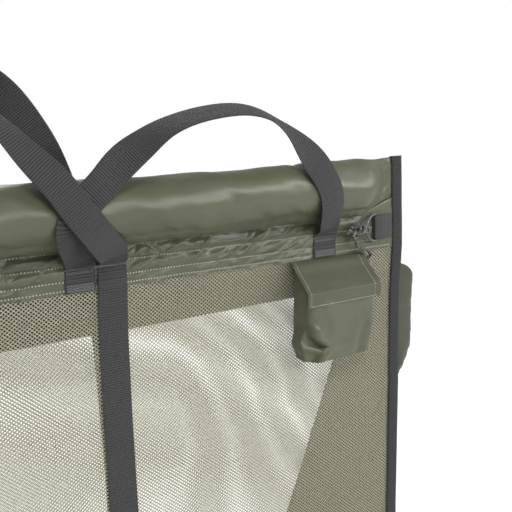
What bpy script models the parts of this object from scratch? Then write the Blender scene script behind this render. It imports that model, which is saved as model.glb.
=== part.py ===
import math

import bmesh
import bpy
from mathutils import Matrix, Vector

MM = 0.001

# Overall sizes of the sling
sling_length = 1350 * MM
sling_height = 600 * MM
roll_top_drop = 155 * MM
back_side_drop = 62 * MM
hem_depth = 130 * MM
fit_gap = 0.3 * MM

# Rolls and their foam floats
sleeve_depth = 80 * MM
sleeve_end_depth = 56 * MM
roll_radius = 34 * MM
roll_offset = 36 * MM
sleeve_wall = 0.9 * MM
sleeve_end_half_gap = 0.25 * MM
sleeve_taper_length = 100 * MM
sleeve_flat_run = 4 * MM
sleeve_point_count = 19
seam_room_share = 0.9
sleeve_step_count = 4
float_side_count = 24
float_end_round = 6 * MM

# Gathered band, hem and stiffening pole
band_wall = 0.8 * MM
band_layer_offset = 1.2 * MM
channel_depth = 91 * MM
channel_half_width = 4.2 * MM
second_seam_depth = 102 * MM
pole_radius = 3 * MM
pole_end_inset = 104 * MM
channel_fade_length = 40 * MM
channel_flat_share = 0.4
seam_pinch_share = 0.6

# Net panels
net_thickness = 1.0 * MM
net_columns = 6
net_rows = 4
net_cord_share = 0.11
net_top_tuck = 24 * MM
net_edge_inset = 2.2 * MM
net_bottom_inset = 2.6 * MM

# How the two sides hang together
hem_half_gap = 14 * MM
closed_half_gap = 3.3 * MM
closing_drop = 170 * MM
end_spread = 9 * MM
spread_shares = (0.45, 0.79)
closing_knee_share = 0.35
closing_left_share = 0.42
bottom_flat_height = 26 * MM
spread_keep_depth = 340 * MM

# Edge bindings
binding_width = 20 * MM
binding_wall = 1.0 * MM
binding_slot_half = 1.9 * MM
binding_edge_wall = 1.2 * MM
bottom_binding_height = 20 * MM
bottom_binding_slot_half = 4.1 * MM

# End gussets
gusset_thickness = 0.6 * MM
gusset_offset = 1.1 * MM
gusset_top_gap = 2 * MM
gusset_end_inset = 2.4 * MM
gusset_fold_start_depth = -8 * MM
gusset_fold_slope_share = 0.415
gusset_steps = 12
gusset_span_points = 3
lobe_reach = 37 * MM
lobe_start_depth = 112 * MM
lobe_full_depth = 167 * MM
lobe_fade_depth = 262 * MM
lobe_end_depth = 486 * MM
lobe_front_shift = 4.4 * MM
fold_round = 1.2 * MM

# Webbing
webbing_width = 38 * MM
webbing_thickness = 1.8 * MM
strap_place = 220 * MM
strap_top_depth = 103.5 * MM
strap_net_offset = 1.7 * MM
strap_band_offset = 2.8 * MM
strap_bottom_offset = 6.4 * MM
strap_turn_share = 0.7
ribbon_steps = 2
leg_start_share = 0.2
leg_fade_share = 0.12
hinge_depth = 101 * MM
handle_start_offset = 4.3 * MM
handle_layer_gap = 1.1 * MM

# Carry handles
carry_inner_foot = 180.5 * MM
carry_outer_inset = 145 * MM
carry_rise = 178 * MM
crown_twist = math.radians(66)
back_carry_lean = math.radians(40)
twist_shares = (0.55, 0.4)
carry_foot_length = 27 * MM

# Pouch and flap
pouch_inset = 199 * MM
pouch_width = 116 * MM
pouch_thickness = 40 * MM
pouch_top_depth = 138 * MM
pouch_bottom_depth = 270 * MM
pouch_wall = 1.2 * MM
pouch_round = 7 * MM
mouth_slope_drop = 32 * MM
flap_thickness = 1.2 * MM
flap_side_over = 5 * MM
flap_bulge_out = 9 * MM
flap_bulge_depth = 135.5 * MM
flap_lip = 20 * MM
flap_hinge_drop = 1 * MM
patch_width = 60 * MM
patch_height = 14 * MM
patch_thickness = 1.0 * MM
patch_rise = 3 * MM

# Ring tabs, rings, knot and cord
tab_depth = 98 * MM
tab_height = 34 * MM
tab_loop_inset = 55 * MM
tab_wall = 1.2 * MM
ring_wire = 3.2 * MM
ring_reach = 24 * MM
ring_height = 38 * MM
ring_arc_steps = 16
ring_rest_angle = math.radians(18)
cord_width = 5 * MM
knot_loop_radius = 4.6 * MM
knot_length = 32 * MM
knot_depth = 17 * MM
knot_height = 21 * MM
knot_lean = math.radians(25)
coil_turns_per_layer = 3
coil_layers = 2
coil_inner_radius = 17 * MM
coil_pitch = 6.4 * MM
coil_layer_pitch = 5.8 * MM
coil_points_per_turn = 24
coil_least_gap = 0.4 * MM
lead_steps = 2
coil_centre_inset = 57 * MM
coil_back_offset = 12 * MM

# Derived sizes
half_length = sling_length / 2
tab_loop_place = half_length - tab_loop_inset
pouch_start = half_length - pouch_inset
coil_centre_place = pouch_start + coil_centre_inset
carry_outer_foot = half_length - carry_outer_inset
roll_top = -roll_top_drop
bottom_z = roll_top - sling_height
edge_inside = half_length - binding_edge_wall - fit_gap
half_webbing = webbing_thickness / 2
binding_half_thickness = binding_slot_half + binding_wall
band_outside = band_layer_offset + band_wall / 2
pouch_back_offset = net_thickness / 2 + fit_gap
pouch_front_offset = pouch_back_offset + pouch_thickness
flap_start_offset = net_thickness / 2 + fit_gap + flap_thickness / 2
flap_start_depth = strap_top_depth + carry_foot_length + flap_hinge_drop
coil_radius = coil_inner_radius + coil_pitch * (coil_turns_per_layer - 0.5) + cord_width / 2
coil_centre_depth = pouch_bottom_depth - pouch_wall - fit_gap - coil_radius


def smooth_step(value):
    value = min(max(value, 0), 1)
    return value * value * (3 - 2 * value)


def side_gap(x, z, drop):
    """Distance of a side's net plane from the middle of the sling."""
    hem_z = roll_top - drop - hem_depth
    fallen = min(max((hem_z - z) / closing_drop, 0), 1)
    if fallen < closing_knee_share:
        left = 1 - (1 - closing_left_share) * fallen / closing_knee_share
    else:
        left = closing_left_share * (1 - fallen) / (1 - closing_knee_share)
    start, full = (share * half_length for share in spread_shares)
    spread = min(max((abs(x) - start) / (full - start), 0), 1)
    kept_z = roll_top - spread_keep_depth
    flat_z = bottom_z + bottom_flat_height
    kept = min(max((z - flat_z) / (kept_z - flat_z), 0), 1)
    return closed_half_gap + (hem_half_gap - closed_half_gap) * left + end_spread * spread * kept


def bend_heights(drop):
    """Heights at which a side's net plane changes its slope."""
    hem_z = roll_top - drop - hem_depth
    heights = [hem_z, hem_z - closing_drop * closing_knee_share, hem_z - closing_drop]
    heights += [roll_top - spread_keep_depth, bottom_z + bottom_flat_height]
    return sorted(heights, reverse=True)


def pouch_gap(x, z, drop):
    """Distance of the pouch's flat back plane from the middle of the sling."""
    end = pouch_start + pouch_width
    hem_z = roll_top - drop - hem_depth
    low_z = roll_top - drop - pouch_bottom_depth
    fallen = min(max((hem_z - z) / (hem_z - low_z), 0), 1)
    hem_gap = side_gap(end, hem_z, drop)
    return hem_gap + (side_gap(end, low_z, drop) - hem_gap) * fallen


def mirrored_places(places):
    return sorted(list(places) + [-x for x in places])


def taper_places():
    """Places along the sling where the rolls narrow to their ends."""
    start = half_length - sleeve_taper_length
    run = sleeve_taper_length - binding_width - sleeve_flat_run
    return [start + run * i / sleeve_step_count for i in range(sleeve_step_count + 1)] + [edge_inside]


# Small helpers for meshes
def finish_mesh(bm, name, material, collection):
    bmesh.ops.recalc_face_normals(bm, faces=bm.faces)
    if all(edge.is_manifold for edge in bm.edges) and bm.calc_volume(signed=True) < 0:
        bmesh.ops.reverse_faces(bm, faces=bm.faces)
    mesh = bpy.data.meshes.new(name)
    bm.to_mesh(mesh)
    bm.free()
    mesh.materials.append(material)
    obj = bpy.data.objects.new(name, mesh)
    collection.objects.link(obj)
    return obj


def add_quad(bm, corners, crossed):
    """Two triangles, on one diagonal or the other."""
    a, b, c, d = corners
    halves = ((a, b, d), (b, c, d)) if crossed else ((a, b, c), (a, c, d))
    for half in halves:
        bm.faces.new(half)


def loft(name, rings, material, collection, capped=True, joined=True, looped=False, crossed=None):
    """Rings joined in order. crossed(row, i) tells the diagonal, so that both faces of a thin wall agree."""
    bm = bmesh.new()
    rows = [[bm.verts.new(p) for p in ring] for ring in rings]
    count = len(rows[0])
    last = count if joined else count - 1
    pairs = list(zip(rows, rows[1:]))
    if looped:
        pairs.append((rows[-1], rows[0]))
        capped = False
    for row, (low, high) in enumerate(pairs):
        for i in range(last):
            j = (i + 1) % count
            corners = (low[i], low[j], high[j], high[i])
            if crossed:
                add_quad(bm, corners, crossed(row, i))
            else:
                bm.faces.new(corners)
    if capped:
        bm.faces.new(rows[0])
        bm.faces.new(rows[-1])
    return finish_mesh(bm, name, material, collection)


def apply_modifier(obj, kind, **values):
    modifier = obj.modifiers.new(kind.title(), kind)
    for key, value in values.items():
        setattr(modifier, key, value)
    depsgraph = bpy.context.evaluated_depsgraph_get()
    mesh = bpy.data.meshes.new_from_object(obj.evaluated_get(depsgraph))
    obj.modifiers.clear()
    obj.data = mesh


def thicken(obj, thickness, offset=0):
    apply_modifier(obj, "SOLIDIFY", thickness=thickness, offset=offset, use_even_offset=True)


def smooth_curve(points, steps):
    """Points on a smooth curve through the given ones, with so many steps between two of them."""
    path = [Vector(p) for p in points]
    ends = [2 * path[0] - path[1]] + path + [2 * path[-1] - path[-2]]
    result = []
    for i in range(len(path) - 1):
        a, b, c, d = ends[i : i + 4]
        for k in range(steps):
            t = k / steps
            bend = 2 * a - 5 * b + 4 * c - d
            rest = 3 * b - a - 3 * c + d
            result.append((2 * b + (c - a) * t + bend * t * t + rest * t ** 3) / 2)
    result.append(path[-1])
    return result


def ribbon(name, points, turns, arch, material, collection):
    """A flat strap along the points: arch 1 stands up, -1 hangs down and 0 keeps its side."""
    rings = []
    last = len(points) - 1
    for i, p in enumerate(points):
        along = points[min(i + 1, last)] - points[max(i - 1, 0)]
        along.normalize()
        half = 1 if i < last / 2 else -1
        leg = smooth_step((abs(i / last - 0.5) - leg_start_share) / leg_fade_share)
        upright = arch * along.z + (half * math.hypot(along.y, along.z) - arch * along.z) * leg
        flat = Vector((upright, 0, -arch * along.x)) if arch else Vector((1, 0, 0))
        flat = (flat - along * flat.dot(along)).normalized()
        across = math.cos(turns[i]) * flat + math.sin(turns[i]) * along.cross(flat)
        a = across * webbing_width / 2
        n = along.cross(across) * half_webbing
        rings.append([p - a - n, p + a - n, p + a + n, p - a + n])
    return loft(name, rings, material, collection, crossed=lambda row, i: i == 2)


def tube(name, points, width, material, collection, closed=False, resolution=2):
    curve = bpy.data.curves.new(name, "CURVE")
    curve.dimensions = "3D"
    curve.bevel_depth = width / 2
    curve.bevel_resolution = resolution
    curve.use_fill_caps = True
    spline = curve.splines.new("POLY")
    spline.points.add(len(points) - 1)
    for point, place in zip(spline.points, points):
        point.co = (*place, 1)
    spline.use_cyclic_u = closed
    source = bpy.data.objects.new(name + "_curve", curve)
    collection.objects.link(source)
    mesh = bpy.data.meshes.new_from_object(source)
    bpy.data.objects.remove(source)
    mesh.name = name
    mesh.materials.clear()
    mesh.materials.append(material)
    obj = bpy.data.objects.new(name, mesh)
    collection.objects.link(obj)
    return obj


def add_box(name, low, high, material, collection):
    bpy.ops.mesh.primitive_cube_add(size=1)
    obj = bpy.context.active_object
    for owner in obj.users_collection:
        owner.objects.unlink(obj)
    collection.objects.link(obj)
    obj.name = name
    obj.data.name = name
    for vertex in obj.data.vertices:
        for axis in range(3):
            share = vertex.co[axis] + 0.5
            vertex.co[axis] = low[axis] + (high[axis] - low[axis]) * share
    obj.data.materials.append(material)
    return obj


def add_rod(name, start, end, radius, sides, material, collection, end_round=0):
    length = end[0] - start[0]
    bpy.ops.mesh.primitive_cylinder_add(vertices=sides, radius=radius, depth=length)
    obj = bpy.context.active_object
    for owner in obj.users_collection:
        owner.objects.unlink(obj)
    collection.objects.link(obj)
    obj.name = name
    obj.data.name = name
    middle = (Vector(start) + Vector(end)) / 2
    for vertex in obj.data.vertices:
        x, y, z = vertex.co
        vertex.co = Vector((z, y, -x)) + middle
    obj.data.materials.append(material)
    if end_round:
        apply_modifier(obj, "BEVEL", width=end_round, segments=2, limit_method="ANGLE",
                       angle_limit=math.radians(60))
    return obj


def set_pivot(obj, place):
    place = Vector(place)
    for vertex in obj.data.vertices:
        vertex.co -= place
    obj.location = place


def drape(obj, side, drop, gap=side_gap):
    """Move a piece that was drawn on a flat side onto the hanging side."""
    for vertex in obj.data.vertices:
        x, y, z = vertex.co
        vertex.co.y = side * (gap(x, z, drop) - y)
    if side > 0:
        obj.data.flip_normals()


def make_material(name, colour, roughness, metallic=0.0):
    material = bpy.data.materials.new(name)
    material.use_nodes = True
    shader = material.node_tree.nodes["Principled BSDF"]
    shader.inputs["Base Color"].default_value = (*colour, 1)
    shader.inputs["Roughness"].default_value = roughness
    shader.inputs["Metallic"].default_value = metallic
    material.diffuse_color = (*colour, 1)
    return material


# Roll of one side with its float, band and pole
def seam_depth_at(x):
    start = half_length - sleeve_taper_length
    rise = smooth_step((abs(x) - start) / sleeve_taper_length)
    return sleeve_depth + (sleeve_end_depth - sleeve_depth) * rise


def seam_angles(x):
    """Direction from the float's middle to the seam, and half the arc that the seam sees."""
    reach = sleeve_depth - roll_radius
    shift = roll_offset - side_gap(x, roll_top, 0)
    return math.atan2(shift, reach), math.acos(roll_radius / math.hypot(reach, shift))


def sleeve_section(x, side, drop, inset):
    """Teardrop round the float, pressed flat where the edge binding takes it."""
    top = roll_top - drop - inset
    radius = roll_radius - inset
    centre_z = roll_top - drop - roll_radius
    seam_z = roll_top - drop - seam_depth_at(x)
    flat_y = side_gap(x, seam_z, drop)
    start = half_length - sleeve_taper_length
    run = sleeve_taper_length - binding_width - sleeve_flat_run
    flat = smooth_step((abs(x) - start) / run)
    first_lean, first_opening = seam_angles(0)
    last_lean, last_opening = seam_angles(half_length)
    first_angle = first_opening - math.pi / 2 - first_lean
    last_angle = 3 * math.pi / 2 - last_opening - last_lean
    tip_z = seam_z + fit_gap + inset * 2
    half = sleeve_end_half_gap + sleeve_wall - inset
    count = sleeve_point_count
    points = []
    for i in range(count):
        turn_share = i / (count - 1)
        angle = first_angle + (last_angle - first_angle) * turn_share
        round_y = roll_offset + radius * math.cos(angle)
        round_z = centre_z + radius * math.sin(angle)
        height_share = 1 - abs(2 * turn_share - 1)
        rise = (2 * height_share + 1) / 3
        pressed_y = flat_y + half * math.copysign(min(1, 6 * (1 - rise)), 0.5 - turn_share)
        pressed_z = tip_z + (top - tip_z) * rise
        points.append((x, side * (round_y + (pressed_y - round_y) * flat),
                       round_z + (pressed_z - round_z) * flat))
    points.append((x, side * flat_y, tip_z))
    return points


def inner_tip(skin):
    """The seam's inner corner: one wall from both of the sheets that meet there."""
    tip, first, last = Vector(skin[-1]), Vector(skin[0]), Vector(skin[-2])
    first, last = first - tip, last - tip
    room = (first + last).length / 2
    first.normalize()
    last.normalize()
    bisector = (first + last).normalized()
    rise = sleeve_wall / math.sqrt((1 - first.dot(last)) / 2)
    return tuple(tip + bisector * min(rise, room * seam_room_share))


def make_sleeve(name, side, drop, material, collection):
    spread = [half_length * share for share in spread_shares]
    places = mirrored_places(spread + taper_places())
    outer = [sleeve_section(x, side, drop, 0) for x in places]
    inner = [sleeve_section(x, side, drop, sleeve_wall) for x in places]
    for skin, lining in zip(outer, inner):
        lining[-1] = inner_tip(skin)
    return loft(name, outer + inner[::-1], material, collection, looped=True,
                crossed=lambda row, i: row >= len(places))


def make_float(name, side, drop, material, collection):
    radius = roll_radius - sleeve_wall - fit_gap * 1.5
    reach = half_length - sleeve_taper_length
    y = side * roll_offset
    z = roll_top - drop - roll_radius
    return add_rod(name, (-reach, y, z), (reach, y, z), radius, float_side_count,
                   material, collection, float_end_round)


def band_path(x, drop):
    """Flat outline of the folded band: up the outer layer, over the pole, down the inner one."""
    top = roll_top - drop
    seam_z = top - seam_depth_at(x) - band_wall
    squeeze_start = half_length - sleeve_taper_length
    squeeze = 1 - smooth_step((abs(x) - squeeze_start) / channel_fade_length)
    bulge = band_layer_offset + (channel_half_width - band_layer_offset) * squeeze
    middle = (seam_z + top - second_seam_depth) / 2
    half = (seam_z - top + second_seam_depth) / 2
    outer = [(band_layer_offset, top - hem_depth),
             (band_layer_offset, top - second_seam_depth),
             (bulge, middle - half * channel_flat_share),
             (bulge, middle + half * channel_flat_share),
             (band_layer_offset * seam_pinch_share, seam_z)]
    inner = [(-y, z) for y, z in reversed(outer)]
    return outer + inner


def make_band(name, side, drop, material, collection):
    spread = [half_length * share for share in spread_shares]
    places = mirrored_places(spread + taper_places())
    rings = [[(x, -y, z) for y, z in band_path(x, drop)] for x in places]
    obj = loft(name, rings, material, collection, capped=False, joined=False)
    drape(obj, side, drop)
    thicken(obj, band_wall)
    return obj


def make_pole(name, side, drop, material, collection):
    top = roll_top - drop
    spread = [half_length * share for share in spread_shares]
    places = mirrored_places(spread + [half_length - pole_end_inset])
    z = top - channel_depth
    points = [(x, side * side_gap(x, z, drop), z) for x in places]
    return tube(name, points, 2 * pole_radius, material, collection, resolution=4)


# Nets
def make_net(name, side, drop, material, collection):
    low_z = bottom_z + net_bottom_inset
    high_z = roll_top - drop - hem_depth + net_top_tuck
    reach = edge_inside - net_edge_inset
    bpy.ops.mesh.primitive_grid_add(x_subdivisions=net_columns, y_subdivisions=net_rows, size=2)
    source = bpy.context.active_object
    bm = bmesh.new()
    bm.from_mesh(source.data)
    bpy.data.objects.remove(source)
    inner_edges = [edge for edge in bm.edges if not edge.is_boundary]
    bmesh.ops.poke(bm, faces=bm.faces)
    bmesh.ops.dissolve_edges(bm, edges=inner_edges, use_verts=False)
    for vertex in bm.verts:
        x, y, z = vertex.co
        vertex.co = Vector((x * reach, 0, low_z + (high_z - low_z) * (y + 1) / 2))
    bm.normal_update()
    cord = net_cord_share * (high_z - low_z) / net_rows / 2
    gaps = list(bm.faces)
    bmesh.ops.inset_individual(bm, faces=gaps, thickness=cord, use_even_offset=True)
    bmesh.ops.delete(bm, geom=gaps, context="FACES")
    cuts = [((0, 0, z), (0, 0, 1)) for z in bend_heights(drop)]
    for share in spread_shares:
        cuts += [((sign * half_length * share, 0, 0), (1, 0, 0)) for sign in (-1, 1)]
    for place, direction in cuts:
        geometry = list(bm.verts) + list(bm.edges) + list(bm.faces)
        bmesh.ops.bisect_plane(bm, geom=geometry, dist=fit_gap / 100, plane_co=place, plane_no=direction)
    obj = finish_mesh(bm, name, material, collection)
    for polygon in obj.data.polygons:
        if polygon.normal.y > 0:
            polygon.flip()
    drape(obj, side, drop)
    thicken(obj, net_thickness)
    return obj


# Bindings
def make_edge_binding(name, end, side, drop, material, collection):
    outer = half_length
    inner = half_length - binding_width
    half = binding_half_thickness
    slot = binding_slot_half
    floor = half_length - binding_edge_wall
    outline = [(inner, -half), (outer - fit_gap, -half), (outer, -half + fit_gap),
               (outer, half - fit_gap), (outer - fit_gap, half), (inner, half),
               (inner, slot), (floor, slot), (floor, -slot), (inner, -slot)]
    heights = [roll_top - drop + binding_wall] + bend_heights(drop) + [bottom_z]
    rings = [[(end * x, -y, z) for x, y in outline] for z in heights]
    obj = loft(name, rings, material, collection)
    drape(obj, side, drop)
    bm = bmesh.new()
    bm.from_mesh(obj.data)
    bmesh.ops.recalc_face_normals(bm, faces=bm.faces)
    bm.to_mesh(obj.data)
    bm.free()
    return obj


def make_bottom_binding(name, material, collection):
    reach = half_length - binding_width - 2 * fit_gap
    slot = bottom_binding_slot_half
    half = slot + binding_wall
    top = bottom_z + bottom_binding_height
    floor = bottom_z + binding_wall
    outline = [(-half, top), (-half, bottom_z + binding_wall), (-slot, bottom_z),
               (slot, bottom_z), (half, bottom_z + binding_wall), (half, top),
               (slot, top), (slot, floor), (-slot, floor), (-slot, top)]
    rings = [[(x, y, z) for y, z in outline] for x in (-reach, reach)]
    return loft(name, rings, material, collection)


# Gussets
def gusset_section(depth, end):
    """Cloth from the front edge binding round the lobe, in to the fold and out to the back."""
    first = hem_depth + gusset_top_gap
    last = sling_height - gusset_end_inset
    shear = back_side_drop * (last - depth) / (last - first)
    edge = edge_inside - fit_gap
    front_z = roll_top - depth
    front = side_gap(edge, front_z, 0) - gusset_offset
    back = side_gap(edge, front_z - shear, back_side_drop) - gusset_offset
    start = half_length - binding_width - 2 * fit_gap
    inward = gusset_fold_slope_share * (depth - gusset_fold_start_depth)
    fold = half_length - max(inward, 2 * binding_width)
    rise = smooth_step((depth - lobe_start_depth) / (lobe_full_depth - lobe_start_depth))
    fade = smooth_step((lobe_end_depth - depth) / (lobe_end_depth - lobe_fade_depth))
    lobe = rise * fade
    out = half_length + lobe_reach * lobe
    layer = front - lobe_front_shift
    near = gusset_offset
    shape = [(start, front), (start - 3 * fit_gap, front - near), (start + near, layer),
             (half_length, layer), (out - near, layer), (out, layer - near),
             (out - near, 2 * near), (half_length, near), (start, near)]
    turn = fold_round / 2
    points = [(edge, front), shape[0]]
    for i, bulged in enumerate(shape[1:]):
        share = (i + 1) / len(shape)
        plain_x = start + (fold - start) * share
        plain_y = front + (turn - front) * share
        points.append((plain_x + (bulged[0] - plain_x) * lobe, plain_y + (bulged[1] - plain_y) * lobe))
    section = [(x, -y) for x, y in points]
    section += [(fold, -turn), (fold - turn, 0), (fold, turn)]
    for i in range(1, gusset_span_points + 1):
        share = i / gusset_span_points
        section.append((fold + (start - fold) * share, turn + (back - turn) * share))
    section.append((edge, back))
    span = front + back
    return [(end * x, y, front_z - shear * (y + front) / span) for x, y in section]


def make_gusset(name, end, material, collection):
    first = hem_depth + gusset_top_gap
    last = sling_height - gusset_end_inset
    depths = [first + (last - first) * i / gusset_steps for i in range(gusset_steps + 1)]
    bends = [roll_top - z for z in bend_heights(0)]
    share = back_side_drop / (last - first)
    bends += [(roll_top - z - share * last) / (1 - share) for z in bend_heights(back_side_drop)]
    depths = sorted(depths + [bend for bend in bends if first < bend < last])
    rings = [gusset_section(depth, end) for depth in depths]
    obj = loft(name, rings, material, collection, capped=False, joined=False)
    thicken(obj, gusset_thickness)
    return obj


# Straps and handles
def make_strap(name, end, material, collection):
    places = []
    x = end * strap_place
    for side, drop in ((-1, 0), (1, back_side_drop)):
        top = roll_top - drop - strap_top_depth
        hem = roll_top - drop - hem_depth
        low = bottom_z + bottom_binding_height
        bends = [z for z in bend_heights(drop) if low + 4 * webbing_thickness < z < hem]
        leg = [(strap_band_offset, top), (strap_band_offset, hem)]
        leg += [(strap_band_offset, hem - 2 * webbing_thickness)]
        leg += [(strap_net_offset, hem - 6 * webbing_thickness)]
        leg += [(strap_net_offset, z) for z in bends]
        leg += [(strap_net_offset, low + 4 * webbing_thickness)]
        run = [Vector((x, side * (side_gap(x, z, drop) + out), z)) for out, z in leg]
        run.append(Vector((x, side * strap_bottom_offset, low + webbing_thickness)))
        run.append(Vector((x, side * strap_bottom_offset, bottom_z)))
        places.append(run)
    under = bottom_z - half_webbing - fit_gap
    curve = strap_bottom_offset * strap_turn_share
    turn = [Vector((x, -curve, under)), Vector((x, curve, under))]
    points = places[0] + turn + list(reversed(places[1]))
    return ribbon(name, points, [0] * len(points), 0, material, collection)


def hanging_route(side, drop, route_shares):
    hinge_z = roll_top - drop - hinge_depth
    start_y = side_gap(strap_place, hinge_z, drop) + handle_start_offset
    outer_y = roll_offset + roll_radius
    points = []
    for x_share, rise_share, out_share in route_shares:
        x = strap_place * x_share
        z = hinge_z + (half_webbing - hinge_z) * rise_share
        y = start_y + (outer_y - start_y) * out_share
        points.append(Vector((x, side * y, z)))
    return points


# Shares: along from the middle, rise to the hook, reach out from the band
front_handle_shares = [(1.0, 0.0, 0.0), (1.0, 0.012, 0.025), (0.998, 0.03, 0.14), (0.97, 0.06, 0.45),
                       (0.925, 0.09, 0.72), (0.86, 0.148, 0.98), (0.80, 0.207, 1.13),
                       (0.75, 0.262, 1.17), (0.64, 0.40, 1.15), (0.51, 0.54, 0.95),
                       (0.385, 0.685, 0.68), (0.255, 0.83, 0.36), (0.13, 0.95, 0.12),
                       (0.04, 0.998, 0.07)]
back_handle_shares = [(1.0, 0.0, 0.0), (1.0, 0.01, 0.025), (0.998, 0.025, 0.14), (0.995, 0.05, 0.45),
                      (0.99, 0.08, 0.72), (0.985, 0.125, 0.98), (0.98, 0.17, 1.12),
                      (0.96, 0.24, 1.15), (0.93, 0.36, 1.08), (0.87, 0.50, 0.90),
                      (0.76, 0.66, 0.70), (0.58, 0.82, 0.45), (0.36, 0.93, 0.22),
                      (0.15, 0.985, 0.09), (0.04, 0.998, 0.07)]


def make_long_handle(name, side, drop, route_shares, material, collection):
    half = hanging_route(side, drop, route_shares)
    mirrored = [Vector((-p.x, p.y, p.z)) for p in reversed(half)]
    points = smooth_curve(half + mirrored, ribbon_steps)
    turns = []
    for p in points:
        share = smooth_step((abs(p.x) / strap_place - 0.1) / 0.65)
        turn = math.pi / 2 * (1 - share)
        turns.append(turn if side < 0 else -turn)
    obj = ribbon(name, points, turns, 1, material, collection)
    set_pivot(obj, (0, points[0].y, points[0].z))
    return obj


# Shares: along from the inner to the outer foot, rise above the hinge, reach out from the band
raised_route_shares = [(0.0, 0.0, 0.0), (0.0, 0.017, 0.025), (-0.005, 0.045, 0.12), (-0.02, 0.09, 0.36),
                       (-0.043, 0.15, 0.64), (-0.065, 0.22, 0.88), (-0.07, 0.29, 1.01),
                       (-0.055, 0.36, 1.04), (-0.02, 0.45, 1.04), (0.035, 0.55, 1.03),
                       (0.095, 0.66, 1.0), (0.165, 0.76, 0.97), (0.275, 0.88, 0.88),
                       (0.41, 0.955, 0.82), (0.56, 0.983, 0.8), (0.67, 0.94, 0.83),
                       (0.755, 0.83, 0.9), (0.83, 0.68, 0.99), (0.89, 0.53, 1.04),
                       (0.93, 0.40, 1.04), (0.945, 0.30, 1.01), (0.955, 0.22, 0.88),
                       (0.97, 0.15, 0.64), (0.99, 0.09, 0.36), (1.0, 0.045, 0.12),
                       (1.0, 0.017, 0.025), (1.0, 0.0, 0.0)]


def make_carry_handle(name, end, side, drop, material, collection):
    hinge_z = roll_top - drop - hinge_depth
    start_y = side_gap(strap_place, hinge_z, drop) + handle_start_offset
    outer_y = roll_offset + roll_radius + handle_layer_gap
    points, rises = [], []
    for along_share, rise_share, out_share in raised_route_shares:
        x = carry_inner_foot + (carry_outer_foot - carry_inner_foot) * along_share
        foot_y = side_gap(x, hinge_z, drop) + handle_start_offset
        roll_y = foot_y - (foot_y - start_y) * min(out_share, 1)
        z = hinge_z + carry_rise * rise_share
        y = roll_y + (outer_y - start_y) * out_share
        points.append(Vector((end * x, side * y, z)))
        rises.append(Vector((rise_share, 0, 0)))
    points = smooth_curve(points, ribbon_steps)
    crown_start, crown_run = twist_shares
    turns = [-end * crown_twist * smooth_step((rise.x - crown_start) / crown_run)
             for rise in smooth_curve(rises, ribbon_steps)]
    obj = ribbon(name, points, turns, -side, material, collection)
    if side > 0:
        hinge = (points[0] - points[-1]) * end
        lean = Matrix.Rotation(back_carry_lean, 4, hinge)
        foot = Matrix.Translation(points[0])
        obj.data.transform(foot @ lean @ foot.inverted())
    set_pivot(obj, points[0])
    return obj


def make_carry_foot(name, end, side, drop, place, material, collection):
    top = roll_top - drop - strap_top_depth
    rings = []
    for z in (top, top - carry_foot_length):
        y = side * (side_gap(place, z, drop) + strap_band_offset)
        rings.append([(end * (place - webbing_width / 2), y - half_webbing, z),
                      (end * (place + webbing_width / 2), y - half_webbing, z),
                      (end * (place + webbing_width / 2), y + half_webbing, z),
                      (end * (place - webbing_width / 2), y + half_webbing, z)])
    return loft(name, rings, material, collection)


# Pouch, flap and their touch patches
def make_pouch(name, material, collection, cutters):
    top = roll_top - pouch_top_depth
    low = roll_top - pouch_bottom_depth
    front = -pouch_front_offset
    body = add_box(name, (pouch_start, front, low),
                   (pouch_start + pouch_width, -pouch_back_offset, top), material, collection)
    apply_modifier(body, "BEVEL", width=pouch_round, segments=2, limit_method="ANGLE")
    hollow = add_box("pouch_hollow", (pouch_start + pouch_wall, front + pouch_wall, low + pouch_wall),
                     (pouch_start + pouch_width - pouch_wall, -pouch_back_offset - pouch_wall,
                      top + pouch_round), material, cutters)
    apply_modifier(hollow, "BEVEL", width=pouch_round - pouch_wall, segments=2, limit_method="ANGLE")
    slope = add_box("pouch_mouth_cut", (pouch_start - pouch_wall, 2 * front, top - pouch_round),
                    (pouch_start + pouch_width + pouch_wall, pouch_wall, top + pouch_round),
                    material, cutters)
    for vertex in slope.data.vertices:
        run = -(vertex.co.y + pouch_back_offset) / pouch_thickness
        if vertex.co.z < top:
            vertex.co.z -= mouth_slope_drop * run
    for cutter in (hollow, slope):
        apply_modifier(body, "BOOLEAN", operation="DIFFERENCE", solver="EXACT", object=cutter)
        cutter.display_type = "WIRE"
        cutter.hide_render = True
    drape(body, -1, 0, pouch_gap)
    return body


def flap_outline():
    """Flap section from its hinge on the hem, over the cord and down the slope to the lip."""
    start_z = roll_top - flap_start_depth
    lip_y = pouch_front_offset + 3 * fit_gap + 2 * patch_thickness + flap_thickness / 2
    knee_z = roll_top - pouch_top_depth - mouth_slope_drop + flap_thickness
    return [(flap_start_offset, start_z), (flap_bulge_out, roll_top - flap_bulge_depth),
            (pouch_front_offset / 2, (start_z + knee_z) / 2 + 2 * flap_thickness),
            (lip_y - flap_thickness, knee_z + flap_thickness), (lip_y, knee_z - 2 * flap_thickness),
            (lip_y, knee_z - flap_lip)]


def make_flap(name, material, collection):
    first = pouch_start - flap_side_over
    last = pouch_start + pouch_width + flap_side_over
    rings = [[(x, -y, z) for y, z in flap_outline()] for x in (first, last)]
    obj = loft(name, rings, material, collection, capped=False, joined=False)
    drape(obj, -1, 0, pouch_gap)
    thicken(obj, flap_thickness)
    start_z = roll_top - flap_start_depth
    start_y = -pouch_gap(last, start_z, 0) - flap_start_offset
    set_pivot(obj, ((first + last) / 2, start_y, start_z))
    return obj


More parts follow.
